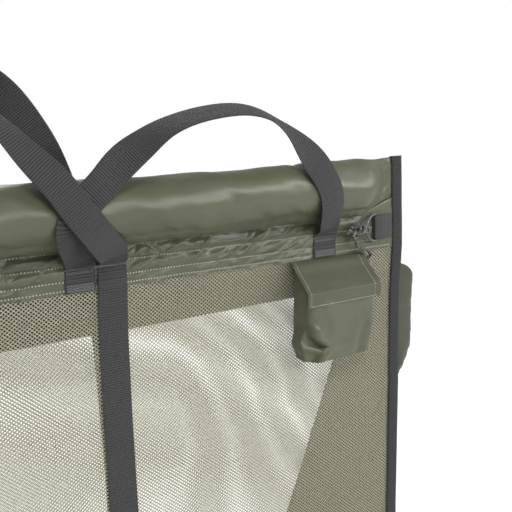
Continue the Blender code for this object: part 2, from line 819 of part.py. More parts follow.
def make_patch(name, outward, material, collection):
    knee_z = roll_top - pouch_top_depth - mouth_slope_drop + flap_thickness
    z = knee_z - flap_lip + patch_rise
    middle = pouch_start + pouch_width / 2
    near_y = pouch_front_offset + fit_gap + outward * (patch_thickness + fit_gap)
    obj = add_box(name, (middle - patch_width / 2, -near_y - patch_thickness, z),
                  (middle + patch_width / 2, -near_y, z + patch_height), material, collection)
    drape(obj, -1, 0, pouch_gap)
    return obj


# Tabs, rings, knot and cord
def make_tab(name, end, material, collection):
    z = roll_top - tab_depth
    near = band_outside + fit_gap + tab_wall / 2
    loop_half = ring_wire / 2 + fit_gap + tab_wall / 2
    far = near + 2 * loop_half
    root = half_length - binding_width - fit_gap - 2 * tab_wall
    outline = [(root, near), (tab_loop_place, near)]
    for i in range(1, 8):
        angle = math.pi * i / 8
        outline.append((tab_loop_place - loop_half * math.sin(angle),
                        near + loop_half - loop_half * math.cos(angle)))
    outline.append((tab_loop_place, far))
    outline.append((root, near + tab_wall + fit_gap))
    rings = [[(end * x, -y, z + side * tab_height / 2) for x, y in outline] for side in (-1, 1)]
    obj = loft(name, rings, material, collection, capped=False, joined=False)
    drape(obj, -1, 0)
    thicken(obj, tab_wall)
    return obj


def ring_axis():
    z = roll_top - tab_depth
    near = band_outside + fit_gap + tab_wall / 2
    loop_half = ring_wire / 2 + fit_gap + tab_wall / 2
    y = -side_gap(tab_loop_place, z, 0) - near - loop_half
    return Vector((tab_loop_place, y, z))


def ring_apex():
    """Far end of the ring's arc as it lies at rest, from the ring's bar."""
    return Vector((-ring_reach * math.cos(ring_rest_angle), -ring_reach * math.sin(ring_rest_angle), 0))


def make_ring(name, end, material, collection):
    half = ring_height / 2
    points = [Vector((0, 0, -half)), Vector((0, 0, 0)), Vector((0, 0, half))]
    for i in range(1, ring_arc_steps):
        angle = math.pi * i / ring_arc_steps
        points.append(Vector((-ring_reach * math.sin(angle), 0, half * math.cos(angle))))
    turned = []
    for p in points:
        x = p.x * math.cos(ring_rest_angle)
        y = p.x * math.sin(ring_rest_angle)
        turned.append(Vector((end * x, y, p.z)))
    obj = tube(name, turned, ring_wire, material, collection, closed=True, resolution=2)
    axis = ring_axis()
    obj.location = (end * axis.x, axis.y, axis.z)
    return obj


def make_knot(name, material, collection, cutters):
    """Loop round the ring and the lump of the knot beside it."""
    axis = ring_axis()
    apex = ring_apex()
    bpy.ops.mesh.primitive_torus_add(major_radius=knot_loop_radius, minor_radius=cord_width / 2,
                                     major_segments=16, minor_segments=8)
    loop = bpy.context.active_object
    for owner in loop.users_collection:
        owner.objects.unlink(loop)
    cutters.objects.link(loop)
    loop.name = "knot_loop"
    loop.display_type = "WIRE"
    loop.hide_render = True
    for vertex in loop.data.vertices:
        vertex.co += apex
    bpy.ops.mesh.primitive_ico_sphere_add(subdivisions=3, radius=1)
    knot = bpy.context.active_object
    for owner in knot.users_collection:
        owner.objects.unlink(knot)
    collection.objects.link(knot)
    knot.name = name
    knot.data.name = name
    knot.data.materials.append(material)
    shift = knot_length / 2 + knot_loop_radius
    for vertex in knot.data.vertices:
        x, y, z = vertex.co
        local = Vector((x * knot_length / 2, y * knot_depth / 2, z * knot_height / 2))
        lean_x = local.x * math.cos(knot_lean) - local.z * math.sin(knot_lean)
        lean_z = local.x * math.sin(knot_lean) + local.z * math.cos(knot_lean)
        vertex.co = Vector((lean_x, local.y, lean_z)) + apex + Vector((-shift, -cord_width / 2, 0))
    apply_modifier(knot, "BOOLEAN", operation="UNION", solver="EXACT", object=loop)
    knot.location = axis
    return knot


def coil_points():
    """Flat coil wound in and out in layers."""
    half_turn = 0.5
    turns = coil_turns_per_layer * coil_layers - half_turn
    steps = round(turns * coil_points_per_turn)
    points = []
    for i in range(steps + 1):
        turn = i / coil_points_per_turn
        layer = min(int(turn / coil_turns_per_layer), coil_layers - 1)
        within = turn - layer * coil_turns_per_layer
        inward = layer % 2 == 0
        run = coil_pitch * (coil_turns_per_layer - half_turn)
        travelled = min(within / (coil_turns_per_layer - half_turn), 1) * run
        radius = coil_inner_radius + (run - travelled if inward else travelled)
        climb = smooth_step((within - (coil_turns_per_layer - half_turn)) / half_turn)
        depth = (layer + climb) * coil_layer_pitch
        angle = -2 * math.pi * turn
        points.append(Vector((radius * math.cos(angle), -depth, radius * math.sin(angle))))
    return points


def coil_path():
    """The coil's points in the pouch, with a short straight end at each end."""
    z = roll_top - coil_centre_depth
    y = -pouch_gap(coil_centre_place, z, 0) - coil_back_offset
    points = [p + Vector((coil_centre_place, y, z)) for p in coil_points()]
    first = points[0] + Vector((0, 0, cord_width))
    last = points[-1] + (points[-1] - points[-2]).normalized() * cord_width
    return [first] + points + [last]


def least_gap(points, width):
    """Least free distance of a wound tube to itself, measured on its points."""
    apart = coil_points_per_turn // 2
    return min((p - q).length for i, p in enumerate(points) for q in points[i + apart:]) - width


def make_coil(name, material, collection):
    points = coil_path()
    gap = least_gap(points, cord_width)
    print(name, "least gap to itself in mm:", round(gap / MM, 2), "enough:", gap > coil_least_gap)
    return tube(name, points, cord_width, material, collection, resolution=1)


# The lead's way from the knot, round the flap's edge and down to the coil, from the knot's foot
lead_route = [(0, 0, 0), (0, 0, -4), (2.5, 0, -9.5), (10, 0, -14), (19, 0, -16.5),
              (25.5, 1, -20), (28.5, 3.5, -25.2), (26.5, 6, -29.2), (21.5, 7.1, -30.4),
              (15.5, 7.1, -30.5), (10.5, 7, -31), (4.5, 7.2, -34.2), (-2.5, 7.5, -43.2),
              (-7.5, 8.5, -59.2), (-10, 9.5, -81.2)]


def make_lead(name, material, collection):
    lean_height = math.hypot(knot_length / 2 * math.sin(knot_lean),
                             knot_height / 2 * math.cos(knot_lean))
    apex = ring_apex()
    start = ring_axis() + apex + Vector((-knot_length / 2 - knot_loop_radius, -cord_width / 2,
                                         -lean_height - fit_gap))
    coil_start = coil_path()[0]
    points = [start + Vector(p) * MM for p in lead_route]
    points.append(coil_start + Vector((0, 0, 2 * cord_width)))
    points.append(coil_start + Vector((0, 0, cord_width)))
    end = coil_start + Vector((0, 0, fit_gap))
    return tube(name, smooth_curve(points, lead_steps) + [end], cord_width, material, collection)


def build():
    for obj in list(bpy.data.objects):
        bpy.data.objects.remove(obj)
    parts = bpy.data.collections.new("weigh_sling")
    cutters = bpy.data.collections.new("cutters")
    for collection in (parts, cutters):
        bpy.context.scene.collection.children.link(collection)
    cloth = make_material("coated_cloth", (0.098, 0.107, 0.058), 0.42)
    foam = make_material("foam", (0.75, 0.75, 0.72), 0.9)
    mesh_cord = make_material("net_cord", (0.30, 0.29, 0.20), 0.8)
    webbing = make_material("webbing", (0.052, 0.052, 0.056), 0.75)
    tape = make_material("binding_tape", (0.027, 0.027, 0.029), 0.8)
    rod = make_material("glass_rod", (0.6, 0.58, 0.5), 0.4)
    plastic = make_material("ring_plastic", (0.05, 0.05, 0.052), 0.35)
    cord = make_material("braided_cord", (0.02, 0.02, 0.021), 0.8)
    touch = make_material("touch_tape", (0.03, 0.03, 0.032), 0.95)

    for label, side, drop in (("front", -1, 0), ("back", 1, back_side_drop)):
        make_sleeve(label + "_sleeve", side, drop, cloth, parts)
        make_float(label + "_float", side, drop, foam, parts)
        make_band(label + "_band", side, drop, cloth, parts)
        make_pole(label + "_pole", side, drop, rod, parts)
        make_net(label + "_net", side, drop, mesh_cord, parts)
        for word, end in (("left", -1), ("right", 1)):
            make_edge_binding(f"{label}_{word}_binding", end, side, drop, tape, parts)
            make_carry_handle(f"{label}_{word}_carry_handle", end, side, drop, webbing, parts)
            for spot, place in (("inner", carry_inner_foot), ("outer", carry_outer_foot)):
                make_carry_foot(f"{label}_{word}_{spot}_foot", end, side, drop, place, webbing, parts)
    make_bottom_binding("bottom_binding", tape, parts)
    for word, end in (("left", -1), ("right", 1)):
        make_gusset(word + "_gusset", end, cloth, parts)
        make_strap(word + "_strap", end, webbing, parts)
        make_tab(word + "_ring_tab", end, webbing, parts)
        make_ring(word + "_ring", end, plastic, parts)
    make_long_handle("front_long_handle", -1, 0, front_handle_shares, webbing, parts)
    make_long_handle("back_long_handle", 1, back_side_drop, back_handle_shares, webbing, parts)
    make_pouch("pouch", cloth, parts, cutters)
    make_flap("pouch_flap", cloth, parts)
    make_patch("loop_patch", 0, touch, parts)
    make_patch("hook_patch", 1, touch, parts)
    make_knot("cord_knot", cord, parts, cutters)
    make_lead("cord_lead", cord, parts)
    make_coil("cord_coil", cord, parts)


build()
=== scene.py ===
import math

import bpy
import numpy as np
from mathutils import Matrix, Quaternion, Vector, noise


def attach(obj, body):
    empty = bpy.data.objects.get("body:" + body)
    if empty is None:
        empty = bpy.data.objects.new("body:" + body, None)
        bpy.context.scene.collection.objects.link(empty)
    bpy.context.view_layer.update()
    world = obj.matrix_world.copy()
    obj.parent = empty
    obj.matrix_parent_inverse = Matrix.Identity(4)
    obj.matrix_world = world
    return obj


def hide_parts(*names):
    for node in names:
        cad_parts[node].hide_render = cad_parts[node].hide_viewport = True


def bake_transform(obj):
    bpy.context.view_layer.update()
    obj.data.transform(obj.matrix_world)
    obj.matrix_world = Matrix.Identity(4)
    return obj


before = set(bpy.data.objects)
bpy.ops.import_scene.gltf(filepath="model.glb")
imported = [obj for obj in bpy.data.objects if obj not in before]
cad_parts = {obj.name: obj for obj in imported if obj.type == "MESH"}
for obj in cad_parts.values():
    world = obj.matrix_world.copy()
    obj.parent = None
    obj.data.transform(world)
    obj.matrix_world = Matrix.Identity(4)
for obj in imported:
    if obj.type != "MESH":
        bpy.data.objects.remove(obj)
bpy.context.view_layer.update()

# Sizes of the sling in millimetres, as in the CAD model
MM = 0.001
HALF = 675.0
TOP = -155.0
DROPS = {"front": 0.0, "back": 62.0}
SIDES = {"front": -1.0, "back": 1.0}
ENDS = {"left": -1.0, "right": 1.0}
HEIGHT = 600.0
BOTTOM = TOP - HEIGHT
HEM = 130.0
FIT = 0.3
WEBBING = 38.0
WEB_THICK = 1.8
SPREAD_SHARES = (0.45, 0.79)
ROLL_RADIUS, ROLL_OFFSET = 34.0, 36.0
SEAM, SEAM_END = 80.0, 56.0
TAPER = 100.0
BIND_WIDTH = 20.0
POUCH_START, POUCH_WIDTH, POUCH_THICK = 476.0, 116.0, 40.0
POUCH_TOP, POUCH_LOW, POUCH_SLOPE = 138.0, 270.0, 32.0
POUCH_BACK, POUCH_SQUARENESS = 0.8, 0.32
CORD = 5.0
STRAP_X, INNER_FOOT, OUTER_FOOT = 220.0, 180.5, HALF - 145.0
HINGE_DEPTH, HINGE_OUT = 101.0, 4.3
FOOT_TOP, FOOT_END = 103.2, 129.5
ARCH_RISE = 178.0
RING_INSET, RING_DEPTH, RING_REACH = 55.0, 98.0, 24.0
TAB_WIDTH = 34.0
KNOT_HALF, KNOT_RISE = 16.0, 10.5
LOOP_RADIUS = 4.6
GUSSET_TUCKED, GUSSET_FIRST, GUSSET_LAST = 106.0, 132.0, 597.6
LOBE_REACH = 37.0


def smooth(v):
    v = np.clip(v, 0, 1)
    return v * v * (3 - 2 * v)


def ease(v):
    return float(smooth(v))


def side_gap(x, z, drop):
    """Distance of a side's net plane from the middle of the sling."""
    hem_z = TOP - drop - HEM
    t = np.clip((hem_z - z) / 170.0, 0, 1)
    left = np.where(t < 0.35, 1 - 0.58 * t / 0.35, 0.42 * (1 - t) / 0.65)
    start, full = (s * HALF for s in SPREAD_SHARES)
    spread = np.clip((np.abs(x) - start) / (full - start), 0, 1)
    flat_z, kept_z = BOTTOM + 26, TOP - 340
    kept = np.clip((z - flat_z) / (kept_z - flat_z), 0, 1)
    return 3.3 + 10.7 * left + 9 * spread * kept


def pouch_gap(z):
    hem_z, low_z = TOP - HEM, TOP - POUCH_LOW
    fallen = np.clip((hem_z - z) / (hem_z - low_z), 0, 1)
    end = POUCH_START + POUCH_WIDTH
    high = side_gap(end, hem_z, 0)
    return high + (side_gap(end, low_z, 0) - high) * fallen


# Small helpers: noise on arrays, meshes from grids, curves through points
def fbm(a, b, c, octaves=3, seed=0.0):
    """Fractal noise at the points (a, b, c), each an array or one number."""
    points = np.stack(np.broadcast_arrays(a, b, c), -1).astype(float)
    shift = Vector((seed, seed * 1.7, -seed))
    values = [noise.fractal(Vector(p) + shift, 1.0, 2.0, octaves) for p in points.reshape(-1, 3)]
    return np.array(values).reshape(points.shape[:-1])


def arc_lengths(path):
    return np.concatenate([[0], np.cumsum(np.linalg.norm(np.diff(path, axis=0), axis=1))])


def uv_grid(along, across):
    return np.stack(np.meshgrid(along, across, indexing="ij"), 2)


def gap_at(x, z, drop):
    return float(side_gap(x, z, drop))


def make_mesh(name, verts, faces, material, uv=None):
    mesh = bpy.data.meshes.new(name)
    mesh.from_pydata((np.asarray(verts, float) * MM).tolist(), [], faces)
    if uv is not None:
        layer = mesh.uv_layers.new(name="UVMap")
        index = np.empty(len(mesh.loops), np.int32)
        mesh.loops.foreach_get("vertex_index", index)
        layer.data.foreach_set("uv", (np.asarray(uv, float) * MM)[index].ravel())
    mesh.polygons.foreach_set("use_smooth", [True] * len(mesh.polygons))
    mesh.materials.append(material)
    obj = bpy.data.objects.new(name, mesh)
    bpy.context.scene.collection.objects.link(obj)
    return obj


def grid(name, points, material, uv=None, wrap=False, caps=False):
    """A surface over an array of points; wrap joins the last column to the first."""
    nu, nv = points.shape[:2]
    faces = []
    for i in range(nu - 1):
        for j in range(nv if wrap else nv - 1):
            k = (j + 1) % nv
            faces.append((i * nv + j, i * nv + k, (i + 1) * nv + k, (i + 1) * nv + j))
    if caps:
        faces.append(tuple(reversed(range(nv))))
        faces.append(tuple((nu - 1) * nv + j for j in range(nv)))
    if uv is None:
        step = np.linalg.norm(np.diff(points, axis=0), axis=2).mean(1)
        along = np.concatenate([[0], np.cumsum(step)])
        width = np.linalg.norm(np.diff(points, axis=1), axis=2).mean(0)
        across = np.concatenate([[0], np.cumsum(width)])
        uv = uv_grid(along, across)
    return make_mesh(name, points.reshape(-1, 3), faces, material, uv.reshape(-1, 2))


def solid(obj, thickness, offset=0.0):
    modifier = obj.modifiers.new("Thickness", "SOLIDIFY")
    modifier.thickness = thickness * MM
    modifier.offset = offset
    return obj


def curve_points(points, steps):
    path = np.asarray(points, float)
    ends = np.vstack([2 * path[0] - path[1], path, 2 * path[-1] - path[-2]])
    result = []
    for i in range(len(path) - 1):
        a, b, c, d = ends[i : i + 4]
        for k in range(steps):
            t = k / steps
            result.append((2 * b + (c - a) * t + (2 * a - 5 * b + 4 * c - d) * t * t
                           + (3 * b - a - 3 * c + d) * t ** 3) / 2)
    result.append(path[-1])
    return np.array(result)


def tube(name, points, width, material, sides=12):
    """A round tube along the points, with its frame carried along without twist."""
    points = np.asarray(points, float)
    along = np.gradient(points, axis=0)
    along /= np.linalg.norm(along, axis=1)[:, None]
    side = np.cross(along[0], (0.3, 0.2, 1.0))
    rings = []
    for p, t in zip(points, along):
        side = side - t * side.dot(t)
        side /= np.linalg.norm(side)
        up = np.cross(t, side)
        angles = 2 * math.pi * np.arange(sides) / sides
        rings.append(p + width / 2 * (np.outer(np.cos(angles), side) + np.outer(np.sin(angles), up)))
    return grid(name, np.array(rings), material, wrap=True, caps=True)


# Materials: every number is in metres of the object
def new_material(name, rough, sheen=0.0):
    material = bpy.data.materials.new(name)
    material.use_nodes = True
    tree = material.node_tree
    shader = tree.nodes["Principled BSDF"]
    shader.inputs["Roughness"].default_value = rough
    shader.inputs["Sheen Weight"].default_value = sheen
    return material, tree, shader


def math_node(tree, kind, a, b=None):
    node = tree.nodes.new("ShaderNodeMath")
    node.operation = kind
    for socket, value in zip(node.inputs, (a, b)):
        if isinstance(value, (int, float)):
            socket.default_value = value
        elif value is not None:
            tree.links.new(value, socket)
    return node.outputs[0]


def noise_node(tree, vector, scale, detail=3.0):
    node = tree.nodes.new("ShaderNodeTexNoise")
    node.inputs["Scale"].default_value = scale
    node.inputs["Detail"].default_value = detail
    tree.links.new(vector, node.inputs["Vector"])
    return node.outputs["Fac"]


def ramp(tree, factor, low, high, start=0.3, end=0.7):
    node = tree.nodes.new("ShaderNodeValToRGB")
    node.color_ramp.elements[0].position = start
    node.color_ramp.elements[1].position = end
    node.color_ramp.elements[0].color = (*low, 1)
    node.color_ramp.elements[1].color = (*high, 1)
    tree.links.new(factor, node.inputs["Fac"])
    return node.outputs["Color"]


def mix_node(tree):
    node = tree.nodes.new("ShaderNodeMix")
    node.data_type = "RGBA"
    return node


def bump(tree, shader, height, distance, strength=1.0):
    node = tree.nodes.new("ShaderNodeBump")
    node.inputs["Distance"].default_value = distance
    node.inputs["Strength"].default_value = strength
    tree.links.new(height, node.inputs["Height"])
    tree.links.new(node.outputs["Normal"], shader.inputs["Normal"])


def uv_parts(tree):
    coord = tree.nodes.new("ShaderNodeTexCoord")
    parts = tree.nodes.new("ShaderNodeSeparateXYZ")
    tree.links.new(coord.outputs["UV"], parts.inputs[0])
    return coord, parts.outputs[0], parts.outputs[1]


def wave(tree, value, period):
    """Rows of ribs: 0 in the groove and 1 on the crown."""
    turned = math_node(tree, "MULTIPLY", value, math.pi / period)
    return math_node(tree, "ABSOLUTE", math_node(tree, "SINE", turned))


def tint(colour, share):
    return tuple(min(c * share, 1) for c in colour)


OLIVE = (0.0862, 0.0920, 0.0540)
WEAVE = 0.0006


def cloth_material(name, colour=OLIVE, rough=0.35):
    material, tree, shader = new_material(name, rough, sheen=0.05)
    coord, u, v = uv_parts(tree)
    spots = noise_node(tree, coord.outputs["Object"], 14.0)
    colour_out = ramp(tree, spots, tint(colour, 0.88), tint(colour, 1.13))
    threads = math_node(tree, "MAXIMUM", wave(tree, u, WEAVE), wave(tree, v, WEAVE))
    # the weave's grooves are painted slightly darker than the thread crowns: painted shade between the
    # threads
    mix = mix_node(tree)
    mix.blend_type = "MULTIPLY"
    mix.inputs["Factor"].default_value = 0.35
    tree.links.new(colour_out, mix.inputs["A"])
    tree.links.new(ramp(tree, threads, (0.75,) * 3, (1,) * 3, 0.4, 0.95), mix.inputs["B"])
    tree.links.new(mix.outputs["Result"], shader.inputs["Base Color"])
    fine = noise_node(tree, coord.outputs["Object"], 160.0, 2.0)
    height = math_node(tree, "ADD", math_node(tree, "MULTIPLY", threads, 0.12), fine)
    bump(tree, shader, height, 0.0006, 0.55)
    uneven = noise_node(tree, coord.outputs["Object"], 30.0)
    tree.links.new(math_node(tree, "ADD", math_node(tree, "MULTIPLY", uneven, 0.18), rough - 0.09),
                   shader.inputs["Roughness"])
    return material


def webbing_material(name, colour, rib=0.0031, rough=0.62, depth=0.0009):
    """Woven tape with ribs across its run and fine threads along it."""
    material, tree, shader = new_material(name, rough, sheen=0.08)
    coord, u, v = uv_parts(tree)
    ribs = wave(tree, u, rib)
    threads = wave(tree, v, rib * 0.55)
    height = math_node(tree, "ADD", ribs, math_node(tree, "MULTIPLY", threads, 0.35))
    fuzz = noise_node(tree, coord.outputs["Object"], 900.0, 2.0)
    # rib grooves painted darker and rib crowns lighter: painted shade and painted highlight in the ribs,
    # with random fuzz
    shade = math_node(tree, "MULTIPLY", math_node(tree, "MULTIPLY", height, 0.62),
                      math_node(tree, "ADD", fuzz, 0.5))
    colour_out = ramp(tree, shade, tint(colour, 0.3), tint(colour, 1.5), 0.12, 0.7)
    tree.links.new(colour_out, shader.inputs["Base Color"])
    bump(tree, shader, height, depth, 0.9)
    return material


def net_material(name, colour):
    material, tree, shader = new_material(name, 0.7, sheen=0.1)
    coord, u, v = uv_parts(tree)
    spots = noise_node(tree, coord.outputs["Object"], 420.0, 2.0)
    tree.links.new(ramp(tree, spots, tint(colour, 0.72), tint(colour, 1.22)), shader.inputs["Base Color"])
    twist = wave(tree, math_node(tree, "ADD", u, v), 0.0007)
    bump(tree, shader, twist, 0.0002, 0.6)
    return material


def cord_material(name):
    """Black braid with pale flecks."""
    material, tree, shader = new_material(name, 0.6, sheen=0.2)
    coord, u, v = uv_parts(tree)
    left = wave(tree, math_node(tree, "ADD", u, v), 0.0016)
    right = wave(tree, math_node(tree, "SUBTRACT", u, v), 0.0016)
    braid = math_node(tree, "MAXIMUM", left, right)
    flecks = noise_node(tree, coord.outputs["Object"], 520.0, 1.0)
    pale = math_node(tree, "GREATER_THAN", flecks, 0.6)
    mix = mix_node(tree)
    tree.links.new(pale, mix.inputs["Factor"])
    # the braid's grooves are painted darker than its crowns: painted shade; the pale flecks are the cord's
    # own colour
    tree.links.new(ramp(tree, braid, (0.006,) * 3, (0.032,) * 3, 0.3, 0.95), mix.inputs["A"])
    mix.inputs["B"].default_value = (0.30, 0.29, 0.26, 1)
    tree.links.new(mix.outputs["Result"], shader.inputs["Base Color"])
    bump(tree, shader, braid, 0.0006, 0.9)
    return material


def plain_material(name, colour, rough, grain, share=0.15):
    material, tree, shader = new_material(name, rough)
    coord = uv_parts(tree)[0]
    spots = noise_node(tree, coord.outputs["Object"], grain)
    tree.links.new(ramp(tree, spots, tint(colour, 1 - share), tint(colour, 1 + share)),
                   shader.inputs["Base Color"])
    bump(tree, shader, spots, 0.0002, 0.4)
    return material


BLACK = (0.023, 0.023, 0.0245)
cloth = cloth_material("olive_cloth")
# olive darkened to 0.56 for the gussets and inner band: painted shade for the inside of the sling
shade_painted_cloth = cloth_material("olive_cloth_with_painted_shade", tint(OLIVE, 0.56), 0.46)
webbing = webbing_material("black_webbing", BLACK)
tape = webbing_material("binding_tape", (0.015, 0.015, 0.016), 0.0030, 0.8, 0.0007)
netting = net_material("khaki_net", (0.36, 0.345, 0.245))
braid = cord_material("black_braid")
stitch_pale = plain_material("khaki_thread", (0.47, 0.46, 0.35), 0.7, 600.0)
stitch_grey = plain_material("grey_thread", (0.19, 0.19, 0.20), 0.7, 600.0)
stitch_dark = plain_material("dark_thread", (0.075, 0.075, 0.08), 0.7, 600.0)
# the flap's olive is darkened to 0.8: painted shade on the upturned flap
shade_painted_flap_cloth = cloth_material("olive_flap_cloth_with_painted_shade", tint(OLIVE, 0.8), 0.42)
foam = plain_material("white_foam", (0.75, 0.75, 0.72), 0.9, 300.0)
plastic = plain_material("ring_plastic", (0.11, 0.11, 0.115), 0.35, 500.0)
rod = plain_material("glass_rod", (0.6, 0.58, 0.5), 0.4, 300.0)
loop_tape = plain_material("loop_tape", (0.03, 0.03, 0.032), 0.95, 900.0, 0.5)

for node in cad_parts:
    own = {"float": foam, "pole": rod, "patch": loop_tape, "ring": plastic}
    finish = own.get(node.split("_")[-1])
    if finish:
        for slot in bpy.data.objects[node].material_slots:
            slot.material = finish


def keep(obj, body, slot, *nodes):
    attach(obj, body)
    if nodes:
        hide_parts(*nodes)
    return obj


# Camera at the photograph's angle
camera_data = bpy.data.cameras.new("camera")
camera = bpy.data.objects.new("camera", camera_data)
bpy.context.scene.collection.objects.link(camera)
FOCAL_PIXELS, PHOTO_PIXELS, SENSOR = 810.84, 512, 36.0
camera_data.sensor_width = SENSOR
camera_data.lens = FOCAL_PIXELS / PHOTO_PIXELS * SENSOR
camera_data.clip_end = 50
camera_yaw, camera_pitch, camera_roll = (math.radians(a) for a in (32.44, 9.64, -2.14))
camera.rotation_mode = "QUATERNION"
look = Vector((math.sin(camera_yaw) * math.cos(camera_pitch),
               math.cos(camera_yaw) * math.cos(camera_pitch), -math.sin(camera_pitch)))
aim = look.to_track_quat("-Z", "Y")
camera.rotation_quaternion = aim @ Quaternion((0, 0, 1), camera_roll)
camera.location = (-0.14274, -0.90705, -0.09257)
bpy.context.scene.camera = camera


# The hoisting cord: from the knot, round the flap's edge and down into the pouch
def ring_axis():
    x, z = HALF - RING_INSET, TOP - RING_DEPTH
    return np.array([x, -gap_at(x, z, 0) - 5.0, z])


REST = math.radians(18)
KNOT_LEAN = math.radians(25)
apex = np.array([-RING_REACH * math.cos(REST), -RING_REACH * math.sin(REST), 0])
lean_height = math.hypot(KNOT_HALF * math.sin(KNOT_LEAN), KNOT_RISE * math.cos(KNOT_LEAN))
lead_start = ring_axis() + apex + np.array([-KNOT_HALF - LOOP_RADIUS, -CORD / 2, -lean_height - FIT])
lead_route = [(0, 0, 0), (0, 0, -4), (2.5, 0, -9.5), (10, 0, -14), (19, 0, -16.5),
              (25.5, 1, -20), (28.5, 3.5, -25.2), (26.5, 6, -29.2), (21.5, 7.1, -30.4),
              (15.5, 7.1, -30.5), (10.5, 7, -31), (4.5, 7.2, -34.2), (-2.5, 7.5, -43.2),
              (-7.5, 8.5, -59.2), (-10, 9.5, -81.2)]
coil_turns, coil_pitch, coil_layer_pitch, coil_inner = 3.0, 6.4, 5.8, 17.0
coil_radius = coil_inner + coil_pitch * (coil_turns - 0.5) + CORD / 2
coil_z = TOP - (POUCH_LOW - 1.2 - FIT - coil_radius)
coil_x = POUCH_START + 57.0


def coil_points(per_turn=24):
    points = []
    for i in range(round((coil_turns * 2 - 0.5) * per_turn) + 1):
        turn = i / per_turn
        layer = min(int(turn / coil_turns), 1)
        within = turn - layer * coil_turns
        run = coil_pitch * (coil_turns - 0.5)
        travelled = min(within / (coil_turns - 0.5), 1) * run
        radius = coil_inner + (run - travelled if layer == 0 else travelled)
        climb = ease((within - coil_turns + 0.5) / 0.5)
        angle = -2 * math.pi * turn
        points.append((coil_x + radius * math.cos(angle),
                       -float(pouch_gap(coil_z)) - 12 - (layer + climb) * coil_layer_pitch,
                       coil_z + radius * math.sin(angle)))
    return np.array(points)


coil = coil_points()
route = [lead_start + np.array(p) for p in lead_route]
route += [coil[0] + np.array([0, 0, 15.0]), coil[0] + np.array([0, 0, 7.5])]
cord_line = np.vstack([curve_points(route, 4)[:-1], curve_points(np.vstack([route[-1], coil]), 1)])
cord_piece = tube("hoisting_cord", cord_line, CORD, braid)
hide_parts("cord_lead", "cord_coil")
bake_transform(cord_piece)

# The knot on the ring: cord tied round itself
knot_centre = ring_axis() + apex + np.array([-KNOT_HALF - LOOP_RADIUS, -CORD / 2, 0])
knot_line = []
for i in range(97):
    t = 2 * math.pi * i / 96
    local = np.array([(2 + math.cos(3 * t)) * math.cos(2 * t), (2 + math.cos(3 * t)) * math.sin(2 * t),
                      math.sin(3 * t)])
    local = local * (4.6, 3.3, 3.2)
    c, s = math.cos(KNOT_LEAN), math.sin(KNOT_LEAN)
    knot_line.append(knot_centre + np.array([local[0] * c - local[1] * s, local[2] * 1.6,
                                             local[0] * s + local[1] * c]))
knot = tube("cord_knot_turns", knot_line[:-1] + [knot_line[0]], CORD, braid)
keep(knot, "right_ring", "braided_cord", "cord_knot")
loop_centre = ring_axis() + apex
loop_line = [loop_centre + LOOP_RADIUS * np.array([math.cos(a), 0, math.sin(a)])
             + np.array([0, 0.8 * math.sin(a), 0]) for a in np.linspace(0, 2 * math.pi, 33)]
loop = tube("cord_ring_loop", loop_line, CORD, braid)
keep(loop, "right_ring", "braided_cord")
tail_line = curve_points([knot_centre + np.array(p) for p in
                          [(-4, -2, -3), (-10, -3, -1), (-15, -3.5, 2), (-18, -4, 0), (-20, -4, -3)]], 4)
tail = tube("cord_tail", tail_line, CORD, braid)
keep(tail, "right_ring", "braided_cord")


# Rolls: taut cloth over the foam, gathered towards the seam and pleated into the binding
def seam_depth(x):
    rise = smooth((np.abs(x) - HALF + TAPER) / TAPER)
    return SEAM + (SEAM_END - SEAM) * rise


def seam_angles(x):
    reach, shift = SEAM - ROLL_RADIUS, ROLL_OFFSET - gap_at(x, TOP, 0)
    return math.atan2(shift, reach), math.acos(ROLL_RADIUS / math.hypot(reach, shift))


